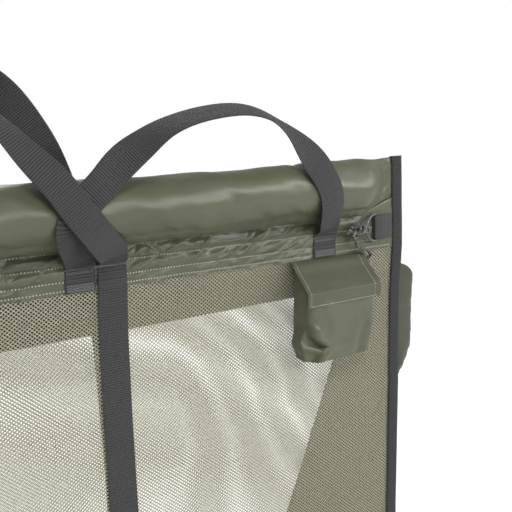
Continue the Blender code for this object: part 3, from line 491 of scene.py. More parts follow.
def make_roll(label):
    side, drop = SIDES[label], DROPS[label]
    seed = 3.0 if side < 0 else 11.0
    xs = np.concatenate([np.linspace(-HALF + 2, -560, 56), np.linspace(-560, 560, 230)[1:-1],
                         np.linspace(560, HALF - 2, 56)])
    count = 60
    share = np.arange(count) / (count - 1)
    first_lean, first_opening = seam_angles(0)
    last_lean, last_opening = seam_angles(HALF)
    first = first_opening - math.pi / 2 - first_lean
    last = 3 * math.pi / 2 - last_opening - last_lean
    angle = first + (last - first) * share
    rings = []
    for x in xs:
        seam_z = TOP - drop - float(seam_depth(x))
        flat_y = gap_at(x, seam_z, drop)
        flat = ease((abs(x) - HALF + TAPER) / (TAPER - BIND_WIDTH - 4))
        tip = seam_z + FIT
        ends = math.exp(-((HALF - 20 - abs(x)) / 55) ** 2)
        broad = fbm(x * 0.0045 + seed, share * 3.4, seed, 2, seed + 7)
        dents = fbm(x * 0.014 + share * 2.2, share * 2.0, seed, 3, seed + 8)
        fold = math.exp(-((abs(x) - 474) / 9) ** 2) + 0.5 * math.exp(-((abs(x) - 250) / 14) ** 2)
        gather = fbm(x * 0.05 + share * 9, share * 1.5, seed + 4, 3, seed)
        pleat = fbm(x * 0.012, share * 13, seed, 2)
        low = np.exp(-((share - 0.02) / 0.09) ** 2) + 0.6 * np.exp(-((share - 1) / 0.1) ** 2)
        push = 1.2 + (2.2 * gather * low + 3.4 * broad + 2.6 * dents) * (1 - ends) + 3.4 * pleat * ends
        push = push - 2.6 * fold * np.exp(-((share - 0.45) / 0.25) ** 2)
        push = np.where(push < 0, -0.9 * np.tanh(-push / 0.9), 4.5 * np.tanh(push / 4.5))
        radius = ROLL_RADIUS + push
        round_y = ROLL_OFFSET + radius * np.cos(angle)
        round_z = TOP - drop - ROLL_RADIUS + radius * np.sin(angle)
        # the cloth runs on from the float to its seam with a slight belly, in front and behind
        ring = []
        for edge, sign, full, step in ((0, 1.0, 3.6, 2), (-1, -1.0, 2.0, 6)):
            y0, z0 = round_y[edge], round_z[edge]
            run = np.linspace(0, 1, 12)[:-1]
            belly = np.sin(math.pi * run)
            wrinkle = fbm(x * 0.06 + run * 0.8, run * 1.4, seed + step, 3, seed)
            nose = np.array([z0 - tip, -(y0 - flat_y)]) / max(math.hypot(z0 - tip, y0 - flat_y), 1)
            fill = full * belly + 2.2 * wrinkle * belly
            line = np.stack([flat_y + (y0 - flat_y) * run + sign * nose[0] * fill,
                             tip + (z0 - tip) * run + sign * nose[1] * fill], 1)
            ring.append(line if edge == 0 else line[::-1][:-1])
        circle = np.stack([round_y, round_z], 1)
        section = np.vstack([ring[0], circle, ring[1]])
        total = len(section)
        at = np.arange(total) / (total - 1)
        rise = 1 - np.abs(2 * at - 1)
        facing = np.where(at < 0.5, 1.0, -1.0) * np.minimum(1, 8 * np.minimum(rise, 1 - rise))
        crease = fbm(x * 0.02, at * 16, seed, 2)
        bite = ease((abs(x) - 640) / 12)
        pressed_y = flat_y + facing * (1.0 + (1 - bite) * (1.2 + 2.2 * crease)) \
            + (1 - bite) * 1.5 * np.sin(rise * math.pi)
        pressed_z = tip + (TOP - drop - tip) * rise
        y = section[:, 0] + (pressed_y - section[:, 0]) * flat
        z = section[:, 1] + (pressed_z - section[:, 1]) * flat
        rings.append(np.stack([np.full(total, x), side * y, z], 1))
    obj = grid(label + "_roll", np.array(rings), cloth, wrap=True)
    return keep(obj, "sling", "coated_cloth", label + "_sleeve")


def along_x(fine):
    return np.linspace(-HALF + 1.6, HALF - 1.6, fine)


# Band under the roll: cloth gathered by its rows of stitches
STITCH_DEPTHS = (81.0, 98.0, 115.5, 126.0)
# the deepest folds of the band: from x and depth to x and depth, and half width
LONG_FOLDS = ((508, 84, 452, 118, 5.0), (492, 104, 432, 122, 4.0), (430, 84, 396, 112, 4.0),
              (398, 100, 352, 118, 3.6), (352, 82, 330, 108, 3.4), (262, 82, 284, 104, 4.5),
              (246, 108, 300, 90, 4.0), (150, 84, 110, 116, 4.5), (90, 98, 52, 122, 4.0),
              (610, 84, 574, 112, 4.0))


def band_push(x, depth, seed):
    """Gathers of the band: creases that lean to the right and are pinched at the stitch rows."""
    rows = sum(math.exp(-((depth - d) / 2.6) ** 2) for d in STITCH_DEPTHS)
    free = 1.0 / (1.0 + 1.6 * rows)
    skew = x + 1.15 * depth
    wide = fbm(skew * 0.030, depth * 0.022, seed, 2, seed + 2)
    ridge = 1 - np.abs(fbm(skew * 0.062 + 1.4 * wide, depth * 0.03, seed + 9, 2, seed + 4)) / 0.22
    fine = fbm(x * 0.16, depth * 0.05, seed + 5, 2, seed)
    where = np.clip(0.5 + 1.6 * fbm(x * 0.011, depth * 0.02, seed + 13, 1, seed), 0.15, 1)
    drawn = np.zeros(len(x))
    for x0, d0, x1, d1, width in LONG_FOLDS:
        share = (depth - d0) / (d1 - d0)
        if -0.12 < share < 1.12:
            strength = ease((share + 0.12) / 0.2) * ease((1.12 - share) / 0.2)
            off = (np.abs(x) - x0 - (x1 - x0) * share) / width
            drawn += strength * (2.6 * np.exp(-off ** 2) - 2.4 * np.exp(-((off - 1.7) / 0.8) ** 2))
    gathers = (4.2 * wide + 2.4 * np.clip(ridge, -0.8, 1) * where + drawn) * free
    return gathers + 0.6 * fine * (0.3 + rows) - 0.5 * rows


def band_room(x, side):
    """1 where the band's gathers are free and 0 under webbing, tabs and knot."""
    room = np.ones(len(x))
    for place, half in ((STRAP_X, 24), (INNER_FOOT, 24), (OUTER_FOOT, 24)):
        room = np.minimum(room, smooth((np.abs(np.abs(x) - place) - half + 6) / 9))
    if side < 0:
        room = np.minimum(room, smooth((np.abs(x - 600) - 52) / 10))
        room = np.minimum(room, smooth((np.abs(x + 622) - 42) / 10))
    return np.minimum(room, smooth((HALF - 22 - np.abs(x)) / 12))


def band_out(x, depth):
    """Middle surface of the outer layer, out from the net plane."""
    squeeze = 1 - smooth((np.abs(x) - HALF + TAPER) / 40)
    top = seam_depth(x) + 0.8
    t = np.clip((depth - top) / (98.0 - top), 0, 1)
    belly = np.where(depth < 98, 2.6 * squeeze * np.sin(math.pi * t) ** 0.7, 0.0)
    low = np.clip((depth - 98.0) / 17.5, 0, 1)
    return 1.8 + belly + 1.2 * squeeze * np.sin(math.pi * low)


def pole_cover(x, depth):
    """The band keeps outside the stiffening pole in its channel."""
    return np.where(np.abs(x) < HALF - 98, 4.1 * np.exp(-((depth - 91) / 3.8) ** 2), 0.0)


def outer_surface(x, depth, push, side):
    """The outer layer with its gathers, which lie close under webbing."""
    out = band_out(x, depth) + np.clip(push, -1.4, 4.2) * band_room(x, side) + np.clip(push, -0.3, 0.3) * 0.7
    return np.maximum(np.maximum(out, 0.75), pole_cover(x, depth))


def make_band(label):
    side, drop = SIDES[label], DROPS[label]
    seed = 20.0 if side < 0 else 31.0
    x = along_x(560)
    columns = []
    for s in np.linspace(0, 1, 44):
        top = seam_depth(x) - 1.0
        depth = HEM + (top - HEM) * s
        out = outer_surface(x, depth, band_push(x, float(depth.mean()), seed), side)
        z = TOP - drop - depth + 0.5 * np.sin(x * 0.09) * math.exp(-s / 0.08)
        columns.append(np.stack([x, side * (side_gap(x, z, drop) + out), z], 1))
    outer = grid(label + "_band_outer", np.array(columns).transpose(1, 0, 2), cloth)
    keep(outer, "sling", "coated_cloth", label + "_band")
    columns = []
    for s in np.linspace(0, 1, 12):
        depth = HEM + (seam_depth(x) - HEM) * s
        z = TOP - drop - depth
        out = -1.2 + 0.3 * band_push(x, float(depth.mean()), seed + 3)
        squeeze = 1 - smooth((np.abs(x) - HALF + TAPER) / 40)
        out = out - 3.0 * squeeze * np.sin(math.pi * np.clip((depth - 80) / 22, 0, 1))
        columns.append(np.stack([x, side * (side_gap(x, z, drop) + np.minimum(out, -0.75)), z], 1))
    # the inner band takes the darkened olive: painted shade
    inner = grid(label + "_band_inner", np.array(columns).transpose(1, 0, 2), shade_painted_cloth)
    keep(inner, "sling", "coated_cloth")


def dashes(name, path, normal, pitch, length, width, material, body, slot):
    """A row of stitches: small flat diamonds that dip at both ends."""
    path = np.asarray(path, float)
    run = arc_lengths(path)
    places = np.arange(pitch / 2, run[-1] - length / 2, pitch)
    verts, faces = [], []
    shape = [(-0.5, 0, -0.12), (-0.22, 0.5, 0.28), (0.22, 0.5, 0.28), (0.5, 0, -0.12),
             (0.22, -0.5, 0.28), (-0.22, -0.5, 0.28), (0, 0, 0.62)]
    for place in places:
        at = np.array([np.interp(place, run, path[:, k]) for k in range(3)])
        near = np.array([np.interp(place + 0.5, run, path[:, k]) for k in range(3)])
        t = (near - at) / max(np.linalg.norm(near - at), 1e-9)
        n = np.asarray(normal, float)
        b = np.cross(n, t)
        base = len(verts)
        for a, c, h in shape:
            verts.append(at + t * a * length + b * c * width + n * h * width)
        faces += [(base + i, base + (i + 1) % 6, base + 6) for i in range(6)]
    return keep(make_mesh(name, np.array(verts), faces, material), body, slot)


for label in SIDES:
    make_roll(label)


# Nets: every thread of the mesh, in diamond holes
def make_net(label):
    side, drop = SIDES[label], DROPS[label]
    low, high = BOTTOM + 2.6, TOP - drop - HEM + 24
    pitch_x, pitch_z = 5.65, 4.85
    seed = 50.0 if side < 0 else 63.0
    for word, start, end in (("left", -HALF + 4, 0.0), ("right", 0.0, HALF - 4)):
        columns = int(round((end - start) / pitch_x))
        rows = int(round((high - low) / pitch_z))
        px, pz = (end - start) / columns, (high - low) / rows
        first = 1
        if word == "right":
            # this half also carries the holes that lie on the middle line
            start, columns, first = start - px, columns + 1, 2
        i, j = np.meshgrid(np.arange(2 * columns + 1), np.arange(2 * rows + 1), indexing="ij")
        ii, jj = np.nonzero((i + j) % 2 == 0)
        index = -np.ones((2 * columns + 1, 2 * rows + 1), int)
        index[ii, jj] = np.arange(len(ii))
        outer = np.stack([start + ii * px / 2, low + jj * pz / 2], 1)
        ci, cj = np.nonzero((i + j) % 2 == 1)
        inside = (ci >= first) & (ci < 2 * columns) & (cj > 0) & (cj < 2 * rows)
        ci, cj = ci[inside], cj[inside]
        centre = np.stack([start + ci * px / 2, low + cj * pz / 2], 1)
        offsets = np.array([(1, 0), (0, 1), (-1, 0), (0, -1)])
        hole = 0.70
        inner = centre[:, None, :] + offsets[None] * np.array([px / 2, pz / 2]) * hole
        outer_id = np.stack([index[ci + a, cj + b] for a, b in offsets], 1)
        inner_id = len(outer) + np.arange(len(ci) * 4).reshape(-1, 4)
        faces = np.concatenate([np.stack([outer_id[:, k], outer_id[:, (k + 1) % 4],
                                          inner_id[:, (k + 1) % 4], inner_id[:, k]], 1)
                                for k in range(4)])
        flat = np.vstack([outer, inner.reshape(-1, 2)])
        x, z = flat[:, 0], flat[:, 1]
        y = side * side_gap(x, z, drop)
        y = y + 0.55 * np.sin(x * 0.021 + z * 0.013 + seed) * np.sin(z * 0.017 + seed)
        verts = np.stack([x, y, z], 1)
        used, faces = np.unique(faces, return_inverse=True)
        verts, flat, faces = verts[used], flat[used], faces.reshape(-1, 4)
        obj = make_mesh(f"{label}_net_{word}", verts, faces.tolist(), netting, flat)
        keep(obj, "sling", "net_cord", label + "_net")


for label in SIDES:
    make_net(label)
for label in SIDES:
    make_band(label)
    side, drop, seed = SIDES[label], DROPS[label], 20.0 if label == "front" else 31.0
    for row, depth in enumerate(STITCH_DEPTHS):
        line = []
        for x in np.arange(-HALF + 22, HALF - 21, 2.5):
            d = float(seam_depth(x)) + 1.0 if row == 0 else depth
            z, at = TOP - drop - d, np.array([x])
            out = float(outer_surface(at, np.array([d]), band_push(at, d, seed), side)[0])
            line.append((x, side * (gap_at(x, z, drop) + out + 0.1), z))
        dashes(f"{label}_stitches_{row}", line, (0, side, 0), 4.0, 2.1, 1.5, stitch_pale, "sling",
               "coated_cloth")


# Gussets: cloth V between the end bindings, with the lobe that stands out
def gusset_points(depth, end, count=58):
    shear = DROPS["back"] * (GUSSET_LAST - depth) / (GUSSET_LAST - GUSSET_FIRST)
    edge = HALF - 1.2 - 2 * FIT
    front_z = TOP - depth
    front = gap_at(edge, front_z, 0) - 1.1
    back = gap_at(edge, front_z - shear, DROPS["back"]) - 1.1
    start = HALF - BIND_WIDTH - 2 * FIT
    fold = HALF - 0.415 * (depth + 8)
    lobe = ease((depth - 112) / 55) * ease((486 - depth) / 224)
    out = HALF + LOBE_REACH * lobe
    layer = front - 4.4
    shape = [(start, front), (start - 0.9, front - 1.1), (start + 1.1, layer),
             (HALF, layer), (out - 8, layer - 0.5), (out, layer - 6 * lobe),
             (out - 6, 3.0), (HALF, 2.0), (start, 1.1)]
    points = [(edge, front), shape[0]]
    for i, bulged in enumerate(shape[1:]):
        share = (i + 1) / len(shape)
        plain = (start + (fold - start) * share, front + (0.6 - front) * share)
        points.append(tuple(a + (b - a) * lobe for a, b in zip(plain, bulged)))
    path = [(x, -y) for x, y in points] + [(fold, -0.6), (fold - 0.6, 0.0), (fold, 0.6)]
    path += [(fold + (start - fold) * s, 0.6 + (back - 0.6) * s) for s in (0.33, 0.66, 1.0)]
    path.append((edge, back))
    path = np.array(path)
    run = arc_lengths(path)
    at = np.linspace(0, run[-1], count)
    x, y = np.interp(at, run, path[:, 0]), np.interp(at, run, path[:, 1])
    z = front_z - shear * (y + front) / (front + back)
    return np.stack([end * x, y, z], 1)


def make_gusset(word, end):
    rings = []
    for depth in np.linspace(GUSSET_TUCKED, GUSSET_LAST, 116):
        ring = gusset_points(depth, end)
        fold = fbm(ring[:, 0] * 0.02, ring[:, 1] * 0.02, ring[:, 2] * 0.028, 3, 70 + end)
        outside = smooth((np.abs(ring[:, 0]) - HALF + 2) / 12)
        ring[:, 1] += 3.4 * fold * outside
        ring[:, 0] += end * 2.6 * fold * outside
        inside = smooth((HALF - 26 - np.abs(ring[:, 0])) / 12)
        room = np.clip(np.abs(ring[:, 1]) * 0.2, 0, 1.2)
        ring[:, 1] += np.clip(2.0 * fold, -1, 1) * inside * room
        rings.append(ring)
    # the gusset takes the darkened olive: painted shade
    obj = grid(word + "_gusset_cloth", np.array(rings), shade_painted_cloth)
    # flat size worked out from the CAD's folded section: 0.50 m at its foot, and 0.157 m2,
    # with about 0.004 m2 for the 26 mm that are tucked up under the band
    return keep(obj, "sling", "coated_cloth", word + "_gusset")


# Webbing: straps and handles
def web_section(points, widths, normals, name):
    """A flat strap with rounded edges along the points."""
    rings = []
    profile = [(-0.5, 0.0), (-0.485, 0.36), (-0.45, 0.5), (-0.15, 0.54), (0.15, 0.54), (0.45, 0.5),
               (0.485, 0.36), (0.5, 0.0), (0.485, -0.36), (0.45, -0.5), (0.15, -0.54),
               (-0.15, -0.54), (-0.45, -0.5), (-0.485, -0.36)]
    for p, a, n in zip(points, widths, normals):
        rings.append([p + a * WEBBING * u + n * WEB_THICK * v for u, v in profile])
    points = np.array(rings)
    along = arc_lengths(points.mean(1))
    across = np.array([u * WEBBING + (60 if v < 0 else 0) for u, v in profile])
    return grid(name, points, webbing, uv_grid(along, across), wrap=True, caps=True)


def ribbon(name, points, turns, arch):
    """The CAD ribbon's run and twist, sampled finely."""
    last = len(points) - 1
    widths, normals = [], []
    for i in range(len(points)):
        along = points[min(i + 1, last)] - points[max(i - 1, 0)]
        along = along / np.linalg.norm(along)
        half = 1 if i < last / 2 else -1
        leg = ease((abs(i / last - 0.5) - 0.2) / 0.12)
        upright = arch * along[2] + (half * math.hypot(along[1], along[2]) - arch * along[2]) * leg
        flat = np.array([upright, 0, -arch * along[0]]) if arch else np.array([1.0, 0, 0])
        flat = flat - along * flat.dot(along)
        flat /= np.linalg.norm(flat)
        across = math.cos(turns[i]) * flat + math.sin(turns[i]) * np.cross(along, flat)
        widths.append(across)
        normals.append(np.cross(along, across))
    return web_section(points, widths, normals, name)


front_handle_shares = [(1.0, 0.0, 0.0), (1.0, 0.012, 0.025), (0.998, 0.03, 0.14), (0.97, 0.06, 0.45),
                       (0.925, 0.09, 0.72), (0.86, 0.148, 0.98), (0.80, 0.207, 1.13),
                       (0.75, 0.262, 1.17), (0.64, 0.40, 1.15), (0.51, 0.54, 0.95),
                       (0.385, 0.685, 0.68), (0.255, 0.83, 0.36), (0.13, 0.95, 0.12),
                       (0.04, 0.998, 0.07)]
back_handle_shares = [(1.0, 0.0, 0.0), (1.0, 0.01, 0.025), (0.998, 0.025, 0.14), (0.995, 0.05, 0.45),
                      (0.99, 0.08, 0.72), (0.985, 0.125, 0.98), (0.98, 0.17, 1.12),
                      (0.96, 0.24, 1.15), (0.93, 0.36, 1.08), (0.87, 0.50, 0.90),
                      (0.76, 0.66, 0.70), (0.58, 0.82, 0.45), (0.36, 0.93, 0.22),
                      (0.15, 0.985, 0.09), (0.04, 0.998, 0.07)]
raised_route_shares = [(0.0, 0.0, 0.0), (0.0, 0.017, 0.025), (-0.005, 0.045, 0.12), (-0.02, 0.09, 0.36),
                       (-0.043, 0.15, 0.64), (-0.065, 0.22, 0.88), (-0.07, 0.29, 1.01),
                       (-0.055, 0.36, 1.04), (-0.02, 0.45, 1.04), (0.035, 0.55, 1.03),
                       (0.095, 0.66, 1.0), (0.165, 0.76, 0.97), (0.275, 0.88, 0.88),
                       (0.41, 0.955, 0.82), (0.56, 0.983, 0.8), (0.67, 0.94, 0.83),
                       (0.755, 0.83, 0.9), (0.83, 0.68, 0.99), (0.89, 0.53, 1.04),
                       (0.93, 0.40, 1.04), (0.945, 0.30, 1.01), (0.955, 0.22, 0.88),
                       (0.97, 0.15, 0.64), (0.99, 0.09, 0.36), (1.0, 0.045, 0.12),
                       (1.0, 0.017, 0.025), (1.0, 0.0, 0.0)]
CROWN_TWIST = math.radians(66)
BACK_LEAN = math.radians(40)


def long_handle(label):
    side, drop = SIDES[label], DROPS[label]
    hinge_z = TOP - drop - HINGE_DEPTH
    start_y = gap_at(STRAP_X, hinge_z, drop) + HINGE_OUT
    shares = front_handle_shares if side < 0 else back_handle_shares
    half = [np.array([STRAP_X * a, side * (start_y + (70 - start_y) * c), hinge_z + (0.9 - hinge_z) * b])
            for a, b, c in shares]
    points = curve_points(half + [p * (-1, 1, 1) for p in reversed(half)], 7)
    turns = []
    for p in points:
        turn = math.pi / 2 * (1 - ease((abs(p[0]) / STRAP_X - 0.1) / 0.65))
        turns.append(turn if side < 0 else -turn)
    name = label + "_long_handle"
    keep(ribbon(label + "_long_webbing", points, turns, 1), name, "webbing", name)


def zigzag(name, label, end, place, depth, out, half, thread):
    """A row of zigzag stitches across a strap."""
    side, drop = SIDES[label], DROPS[label]
    z = TOP - drop - depth
    y = side * (gap_at(place, z, drop) + out)
    line = [(end * place - 17 + 34 * k / 22, y, z + (half if k % 2 else -half)) for k in range(23)]
    dashes(name, line, (0, side, 0), 2.4, 2.2, 0.8, thread, "sling", "webbing")


def carry_handle(label, word, end):
    side, drop = SIDES[label], DROPS[label]
    hinge_z = TOP - drop - HINGE_DEPTH
    start_y = gap_at(STRAP_X, hinge_z, drop) + HINGE_OUT
    outer_y = ROLL_OFFSET + ROLL_RADIUS + 1.1
    points, rises = [], []
    for a, b, c in raised_route_shares:
        x = INNER_FOOT + (OUTER_FOOT - INNER_FOOT) * a
        foot_y = gap_at(x, hinge_z, drop) + HINGE_OUT
        y = foot_y - (foot_y - start_y) * min(c, 1) + (outer_y - start_y) * c
        points.append((end * x, side * y, hinge_z + ARCH_RISE * b))
        rises.append((b, 0, 0))
    points = curve_points(points, 7)
    rises = curve_points(rises, 7)[:, 0]
    turns = [-CROWN_TWIST * end * ease((b - 0.55) / 0.4) for b in rises]
    name = f"{label}_{word}_carry_handle"
    piece = ribbon(f"{label}_{word}_carry_webbing", points, turns, -side)
    if side > 0:
        foot = Vector(points[0] * MM)
        hinge = Vector((points[0] - points[-1]) * end)
        lean = Matrix.Rotation(BACK_LEAN, 4, hinge)
        piece.data.transform(Matrix.Translation(foot) @ lean @ Matrix.Translation(-foot))
    keep(piece, name, "webbing", name)
    for spot, place in (("inner", INNER_FOOT), ("outer", OUTER_FOOT)):
        run = []
        for depth in np.linspace(FOOT_TOP, FOOT_END, 8):
            z = TOP - drop - depth
            run.append(np.array([end * place, side * (gap_at(place, z, drop) + 3.1), z]))
        count = len(run)
        foot = web_section(run, [np.array([1.0, 0, 0])] * count, [np.array([0, side, 0])] * count,
                           f"{label}_{word}_{spot}_foot_webbing")
        keep(foot, "sling", "webbing", f"{label}_{word}_{spot}_foot")
        for row, depth in enumerate((106.0, 110.5, 115.0, 121.0, 124.3, 127.4)):
            zigzag(f"{label}_{word}_{spot}_zigzag_{row}", label, end, place, depth, 4.1, 1.3,
                   stitch_dark if row in (1, 2) else stitch_grey)


def make_strap(word, end):
    run = []
    for label in SIDES:
        side, drop = SIDES[label], DROPS[label]
        depths = np.concatenate([np.linspace(FOOT_TOP, 131, 8), np.linspace(133.5, 141, 4),
                                 np.linspace(150, 570, 60)])
        leg = []
        for depth in depths:
            z = TOP - drop - depth
            if z < BOTTOM + 26:
                continue
            out = 2.9 + (1.75 - 2.9) * ease((depth - 132) / 9)
            leg.append((end * STRAP_X, side * (gap_at(STRAP_X, z, drop) + out), z))
        leg += [(end * STRAP_X, side * 6.4, BOTTOM + 20), (end * STRAP_X, side * 6.4, BOTTOM + 3),
                (end * STRAP_X, side * 5.6, BOTTOM)]
        leg.append((end * STRAP_X, side * 3.4, BOTTOM - 1.25))
        run += leg if label == "front" else leg[::-1]
    points = np.array(run)
    along = np.gradient(points, axis=0)
    along /= np.linalg.norm(along, axis=1)[:, None]
    across = np.array([1.0, 0, 0])
    normals = [np.cross(t, across) for t in along]
    obj = web_section(points, [across] * len(points), normals, word + "_strap_webbing")
    keep(obj, "sling", "webbing", word + "_strap")
    # rows of zigzag stitches on the strap's top, front and back
    for label in SIDES:
        for row, depth in enumerate((106.5, 111.5, 116.5, 121.5, 126.5)):
            zigzag(f"{label}_{word}_strap_zigzag_{row}", label, end, STRAP_X, depth, 3.9, 1.5, stitch_dark)


for word, end in ENDS.items():
    make_gusset(word, end)
    make_strap(word, end)
    for label in SIDES:
        carry_handle(label, word, end)
for label in SIDES:
    long_handle(label)


# Bindings: ribbed tape folded over the edges
def tape_piece(node, points, along):
    uv = uv_grid(along, arc_lengths(points[5]))
    keep(grid(node + "_tape", points, tape, uv, wrap=True, caps=True), "sling", "binding_tape", node)


def edge_binding(label, word, end):
    side, drop = SIDES[label], DROPS[label]
    rings = []
    zs = np.concatenate([[TOP - drop + 1.4, TOP - drop + 1.2], np.linspace(TOP - drop, BOTTOM, 150)])
    for i, z in enumerate(zs):
        wobble = 0.35 * noise.noise(Vector((z * 0.03, side, end * 3))) if 1 < i < len(zs) - 1 else 0.0
        inner = HALF - BIND_WIDTH + 0.5 * wobble
        half = 2.9 if i else 1.6
        outline = [(inner, -half), (inner + 3, -half - 0.15), (HALF - 5, -half - 0.1),
                   (HALF - 1.2, -half + 0.5), (HALF, -1.2), (HALF, 1.2), (HALF - 1.2, half - 0.5),
                   (HALF - 5, half + 0.1),
                   (inner + 3, half + 0.15), (inner, half), (inner - 0.1, 1.9), (inner + 1, 1.4),
                   (inner + 1, -1.4), (inner - 0.1, -1.9)]
        gap = side_gap(np.array([p[0] for p in outline]), z, drop)
        rings.append([(end * (x + wobble), side * (g - y), z) for (x, y), g in zip(outline, gap)])
    tape_piece(f"{label}_{word}_binding", np.array(rings), -np.array(rings)[:, 0, 2])


for word, end in ENDS.items():
    for label in SIDES:
        edge_binding(label, word, end)
reach = HALF - BIND_WIDTH - 0.6
rings = []
for x in np.linspace(-reach, reach, 200):
    w = 0.4 * noise.noise(Vector((x * 0.02, 4, 1)))
    outline = [(-5.1, 20), (-5.2, 10), (-5.0, 2.0), (-3.2, 0.2), (3.2, 0.2), (5.0, 2.0), (5.2, 10),
               (5.1, 20), (4.3, 20), (4.3, 3), (-4.3, 3), (-4.3, 20)]
    rings.append([(x, y, BOTTOM + z + (w if z > 15 else 0)) for y, z in outline])
tape_piece("bottom_binding", np.array(rings), np.array(rings)[:, 0, 0])


# Pouch: a soft cloth box, creased at its lower left, and its flap
def make_pouch():
    rows, count = 72, 160
    rings = []
    middle_x, middle_y = POUCH_START + POUCH_WIDTH / 2, POUCH_BACK + POUCH_THICK / 2
    for r in range(rows):
        v = r / (rows - 1)
        ring = []
        for k in range(count):
            a = 2 * math.pi * (k + 0.5) / count
            ux, uy = (math.copysign(abs(v) ** POUCH_SQUARENESS, v) for v in (math.cos(a), math.sin(a)))
            if v < 0.16:
                scale = math.sin(v / 0.16 * math.pi / 2)
                depth_share = 0.035 * (1 - math.cos(v / 0.16 * math.pi / 2))
            else:
                scale = 1.0
                depth_share = 0.035 + (1 - 0.035) * (v - 0.16) / 0.84
            x = middle_x + ux * (POUCH_WIDTH / 2) * scale
            y = middle_y + uy * (POUCH_THICK / 2) * scale
            run = (y - POUCH_BACK) / POUCH_THICK
            top = POUCH_TOP + POUCH_SLOPE * run
            depth = POUCH_LOW + (top - POUCH_LOW) * depth_share
            ring.append((x, y, depth, ux, uy, scale))
        rings.append(ring)
    x, y, depth, ux, uy, scale = np.array(rings).transpose(2, 0, 1).copy()
    high = np.clip((POUCH_LOW - depth) / (POUCH_LOW - POUCH_TOP), 0, 1)
    soft = fbm(x * 0.024, y * 0.03, depth * 0.024, 3, 90)
    front, left, right = (np.clip(v, 0, 1) * scale for v in (uy, -ux, ux))
    # crowned front and sides, slack low corners
    y += front * (2.4 * np.sin(math.pi * high) + 3.0 * soft - 0.8)
    x += np.sign(ux) * scale * (1 - front) * (1.6 * np.sin(math.pi * high) + 1.8 * soft - 0.8)
    low_corner = smooth((depth - 238) / 34)
    x -= np.sign(ux) * low_corner * scale * 4.0
    # the low left corner is folded in, under a creased edge that ends in a point
    across = x - POUCH_START
    edge = np.interp(depth, [196, 214, 232, 248, 257, 270], [-14, -2, 12, 34, 26, 16])
    folded = smooth((edge - across) / 5.0) * smooth((depth - 200) / 14)
    y -= front * 13.0 * folded * (1 - 0.35 * smooth((depth - 252) / 14))
    y += front * 6.5 * folded * np.exp(-((depth - 247 - 0.3 * across) / 6.5) ** 2)
    y += front * 3.6 * np.exp(-((edge - across + 5) / 6.0) ** 2) * smooth((depth - 206) / 16)
    x -= left * 3.6 * np.exp(-((depth - 244) / 11.0) ** 2)
    x += left * 5.0 * np.exp(-((depth - 219) / 9.0) ** 2) * np.clip((y - 4) / 10, 0, 1)
    # a long slack fold up the right and shallow dents over the front
    slack = np.exp(-((across - 92 + 0.25 * (depth - 240)) / 9.0) ** 2) * smooth((depth - 212) / 25)
    y -= front * 3.0 * slack * (1 - smooth((depth - 262) / 8))
    x -= right * 2.5 * np.exp(-((depth - 250) / 12.0) ** 2)
    depth = np.minimum(depth, POUCH_LOW - 0.2)
    y = np.maximum(y, POUCH_BACK + 0.1)
    z = TOP - depth
    points = np.stack([x, -(pouch_gap(z) + y), z], 2)
    obj = grid("pouch_cloth", points, cloth, wrap=True)
    solid(obj, 1.0, -1.0)
    return keep(obj, "sling", "coated_cloth", "pouch")


make_pouch()


def flap_path():
    lip, knee = 40.8 + 0.9 + 2.0 + 0.6, POUCH_TOP + POUCH_SLOPE - 1.2
    return curve_points([(1.4, 131.5), (9, 135.5), (20.4, (131.5 + knee) / 2 - 2.4), (lip - 1.2, knee - 1.2),
                         (lip + 0.3, knee + 2.6), (lip + 0.5, knee + 11), (lip + 0.2, knee + 19.6)], 8)


def make_flap():
    path = flap_path()
    first, last = POUCH_START - 5, POUCH_START + POUCH_WIDTH + 5
    xs = np.linspace(first, last, 46)
    run = arc_lengths(path)
    columns = []
    for x in xs:
        lift = 1.3 * fbm(x * 0.03, path[:, 1] * 0.05, 7.0, 2, 44) * smooth((run - 8) / 26)
        edge = min(x - first, last - x)
        lift = lift * ease((edge + 3) / 8) + 0.5 * math.exp(-edge / 5)
        lift = np.clip(lift, 0.0, 2.4) * 0.75
        out, depth = path[:, 0] + lift, path[:, 1] - lift
        z = TOP - depth
        columns.append(np.stack([np.full(len(path), x), -(pouch_gap(z) + out), z], 1))
    points = np.array(columns)
    # the flap takes the darkened olive: painted shade
    obj = grid("pouch_flap_cloth", points, shade_painted_flap_cloth)
    solid(obj, 1.0, 0.0)
    keep(obj, "pouch_flap", "coated_cloth", "pouch_flap")
    for row, column in enumerate((2, -5)):
        line = points[column, 3:, :] + np.array([0, -1.0, 0.6])
        dashes(f"flap_side_stitches_{row}", line, (0, -0.7, 0.7), 3.4, 2.6, 0.8, stitch_pale,
               "pouch_flap", "coated_cloth")
    line = points[2:-2, -3, :] + np.array([0, -0.95, 0])
    dashes("flap_lip_stitches", line, (0, -1, 0), 3.4, 2.6, 0.8, stitch_pale, "pouch_flap", "coated_cloth")


make_flap()


# Ring tabs
def make_tab(word, end):
    near, loop_half, root = 2.5, 2.5, HALF - BIND_WIDTH - 2.7
    place = HALF - RING_INSET
    path = [(root, near), (place + 16, near), (place, near)]
    for i in range(1, 12):
        a = math.pi * i / 12
        path.append((place - loop_half * math.sin(a), near + loop_half - loop_half * math.cos(a)))
    path += [(place, near + 2 * loop_half), (place + 8, near + 2 * loop_half - 0.6), (root, near + 1.5)]
    path = np.array(path)
    columns = []
    for s in np.linspace(-0.5, 0.5, 14):
        z = TOP - RING_DEPTH + s * TAB_WIDTH
        gap = side_gap(path[:, 0], z, 0)
        columns.append(np.stack([end * path[:, 0], -(gap + path[:, 1]), np.full(len(path), z)], 1))
    points = np.array(columns).transpose(1, 0, 2)
    obj = grid(word + "_tab_webbing", points, webbing)
    solid(obj, 1.2, 0.0)
    return keep(obj, "sling", "webbing", word + "_ring_tab")


for word, end in ENDS.items():
    make_tab(word, end)


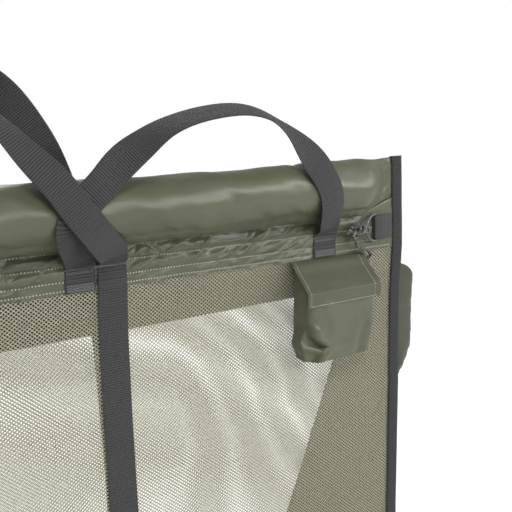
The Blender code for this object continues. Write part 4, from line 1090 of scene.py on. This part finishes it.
# Studio: pale floor and backdrop, soft light
def show_to_camera(tree, base, seen, share, output):
    """The camera sees the given share of seen over base; light that bounces sees base alone."""
    blend = tree.nodes.new("ShaderNodeMixShader")
    rays = tree.nodes.new("ShaderNodeLightPath")
    tree.links.new(math_node(tree, "MULTIPLY", rays.outputs["Is Camera Ray"], share), blend.inputs[0])
    tree.links.new(base.outputs[0], blend.inputs[1])
    tree.links.new(seen.outputs[0], blend.inputs[2])
    tree.links.new(blend.outputs[0], tree.nodes[output].inputs[0])


stage_material, tree, shader = new_material("studio_floor", 0.9)
shader.inputs["Base Color"].default_value = (0.86, 0.86, 0.86, 1)
glow = tree.nodes.new("ShaderNodeEmission")
glow.inputs["Strength"].default_value = 1.17
show_to_camera(tree, shader, glow, 0.82, "Material Output")
bpy.ops.mesh.primitive_plane_add(size=24, location=(0, 4, -0.86))
floor = bpy.context.active_object
floor.name = "studio_floor"
floor.data.materials.append(stage_material)

world = bpy.data.worlds.new("studio")
bpy.context.scene.world = world
world.use_nodes = True
tree = world.node_tree
base = tree.nodes["Background"]
base.inputs["Color"].default_value = (1, 1, 1, 1)
base.inputs["Strength"].default_value = 0.36
seen = tree.nodes.new("ShaderNodeBackground")
seen.inputs["Color"].default_value = (1, 1, 1, 1)
seen.inputs["Strength"].default_value = 1.0
show_to_camera(tree, base, seen, 1.0, "World Output")


def area_light(name, place, target, size, power):
    data = bpy.data.lights.new(name, "AREA")
    data.shape = "RECTANGLE"
    data.size, data.size_y = size
    data.energy = power
    light = bpy.data.objects.new(name, data)
    light.location = place
    light.rotation_mode = "QUATERNION"
    light.rotation_quaternion = (Vector(target) - Vector(place)).to_track_quat("-Z", "Y")
    bpy.context.scene.collection.objects.link(light)


area_light("key", (-0.7, -2.0, 1.7), (0.25, 0, -0.35), (1.1, 0.7), 42)
area_light("strip", (1.55, -2.15, 0.42), (0.2, 0, -0.25), (2.6, 0.2), 38)
area_light("side", (2.6, -1.0, 0.6), (0.3, 0, -0.4), (1.2, 1.6), 12)
area_light("rear", (0.2, 2.4, 1.4), (0.2, 0, -0.3), (1.8, 1.0), 30)
bpy.context.scene.view_settings.view_transform = "Standard"
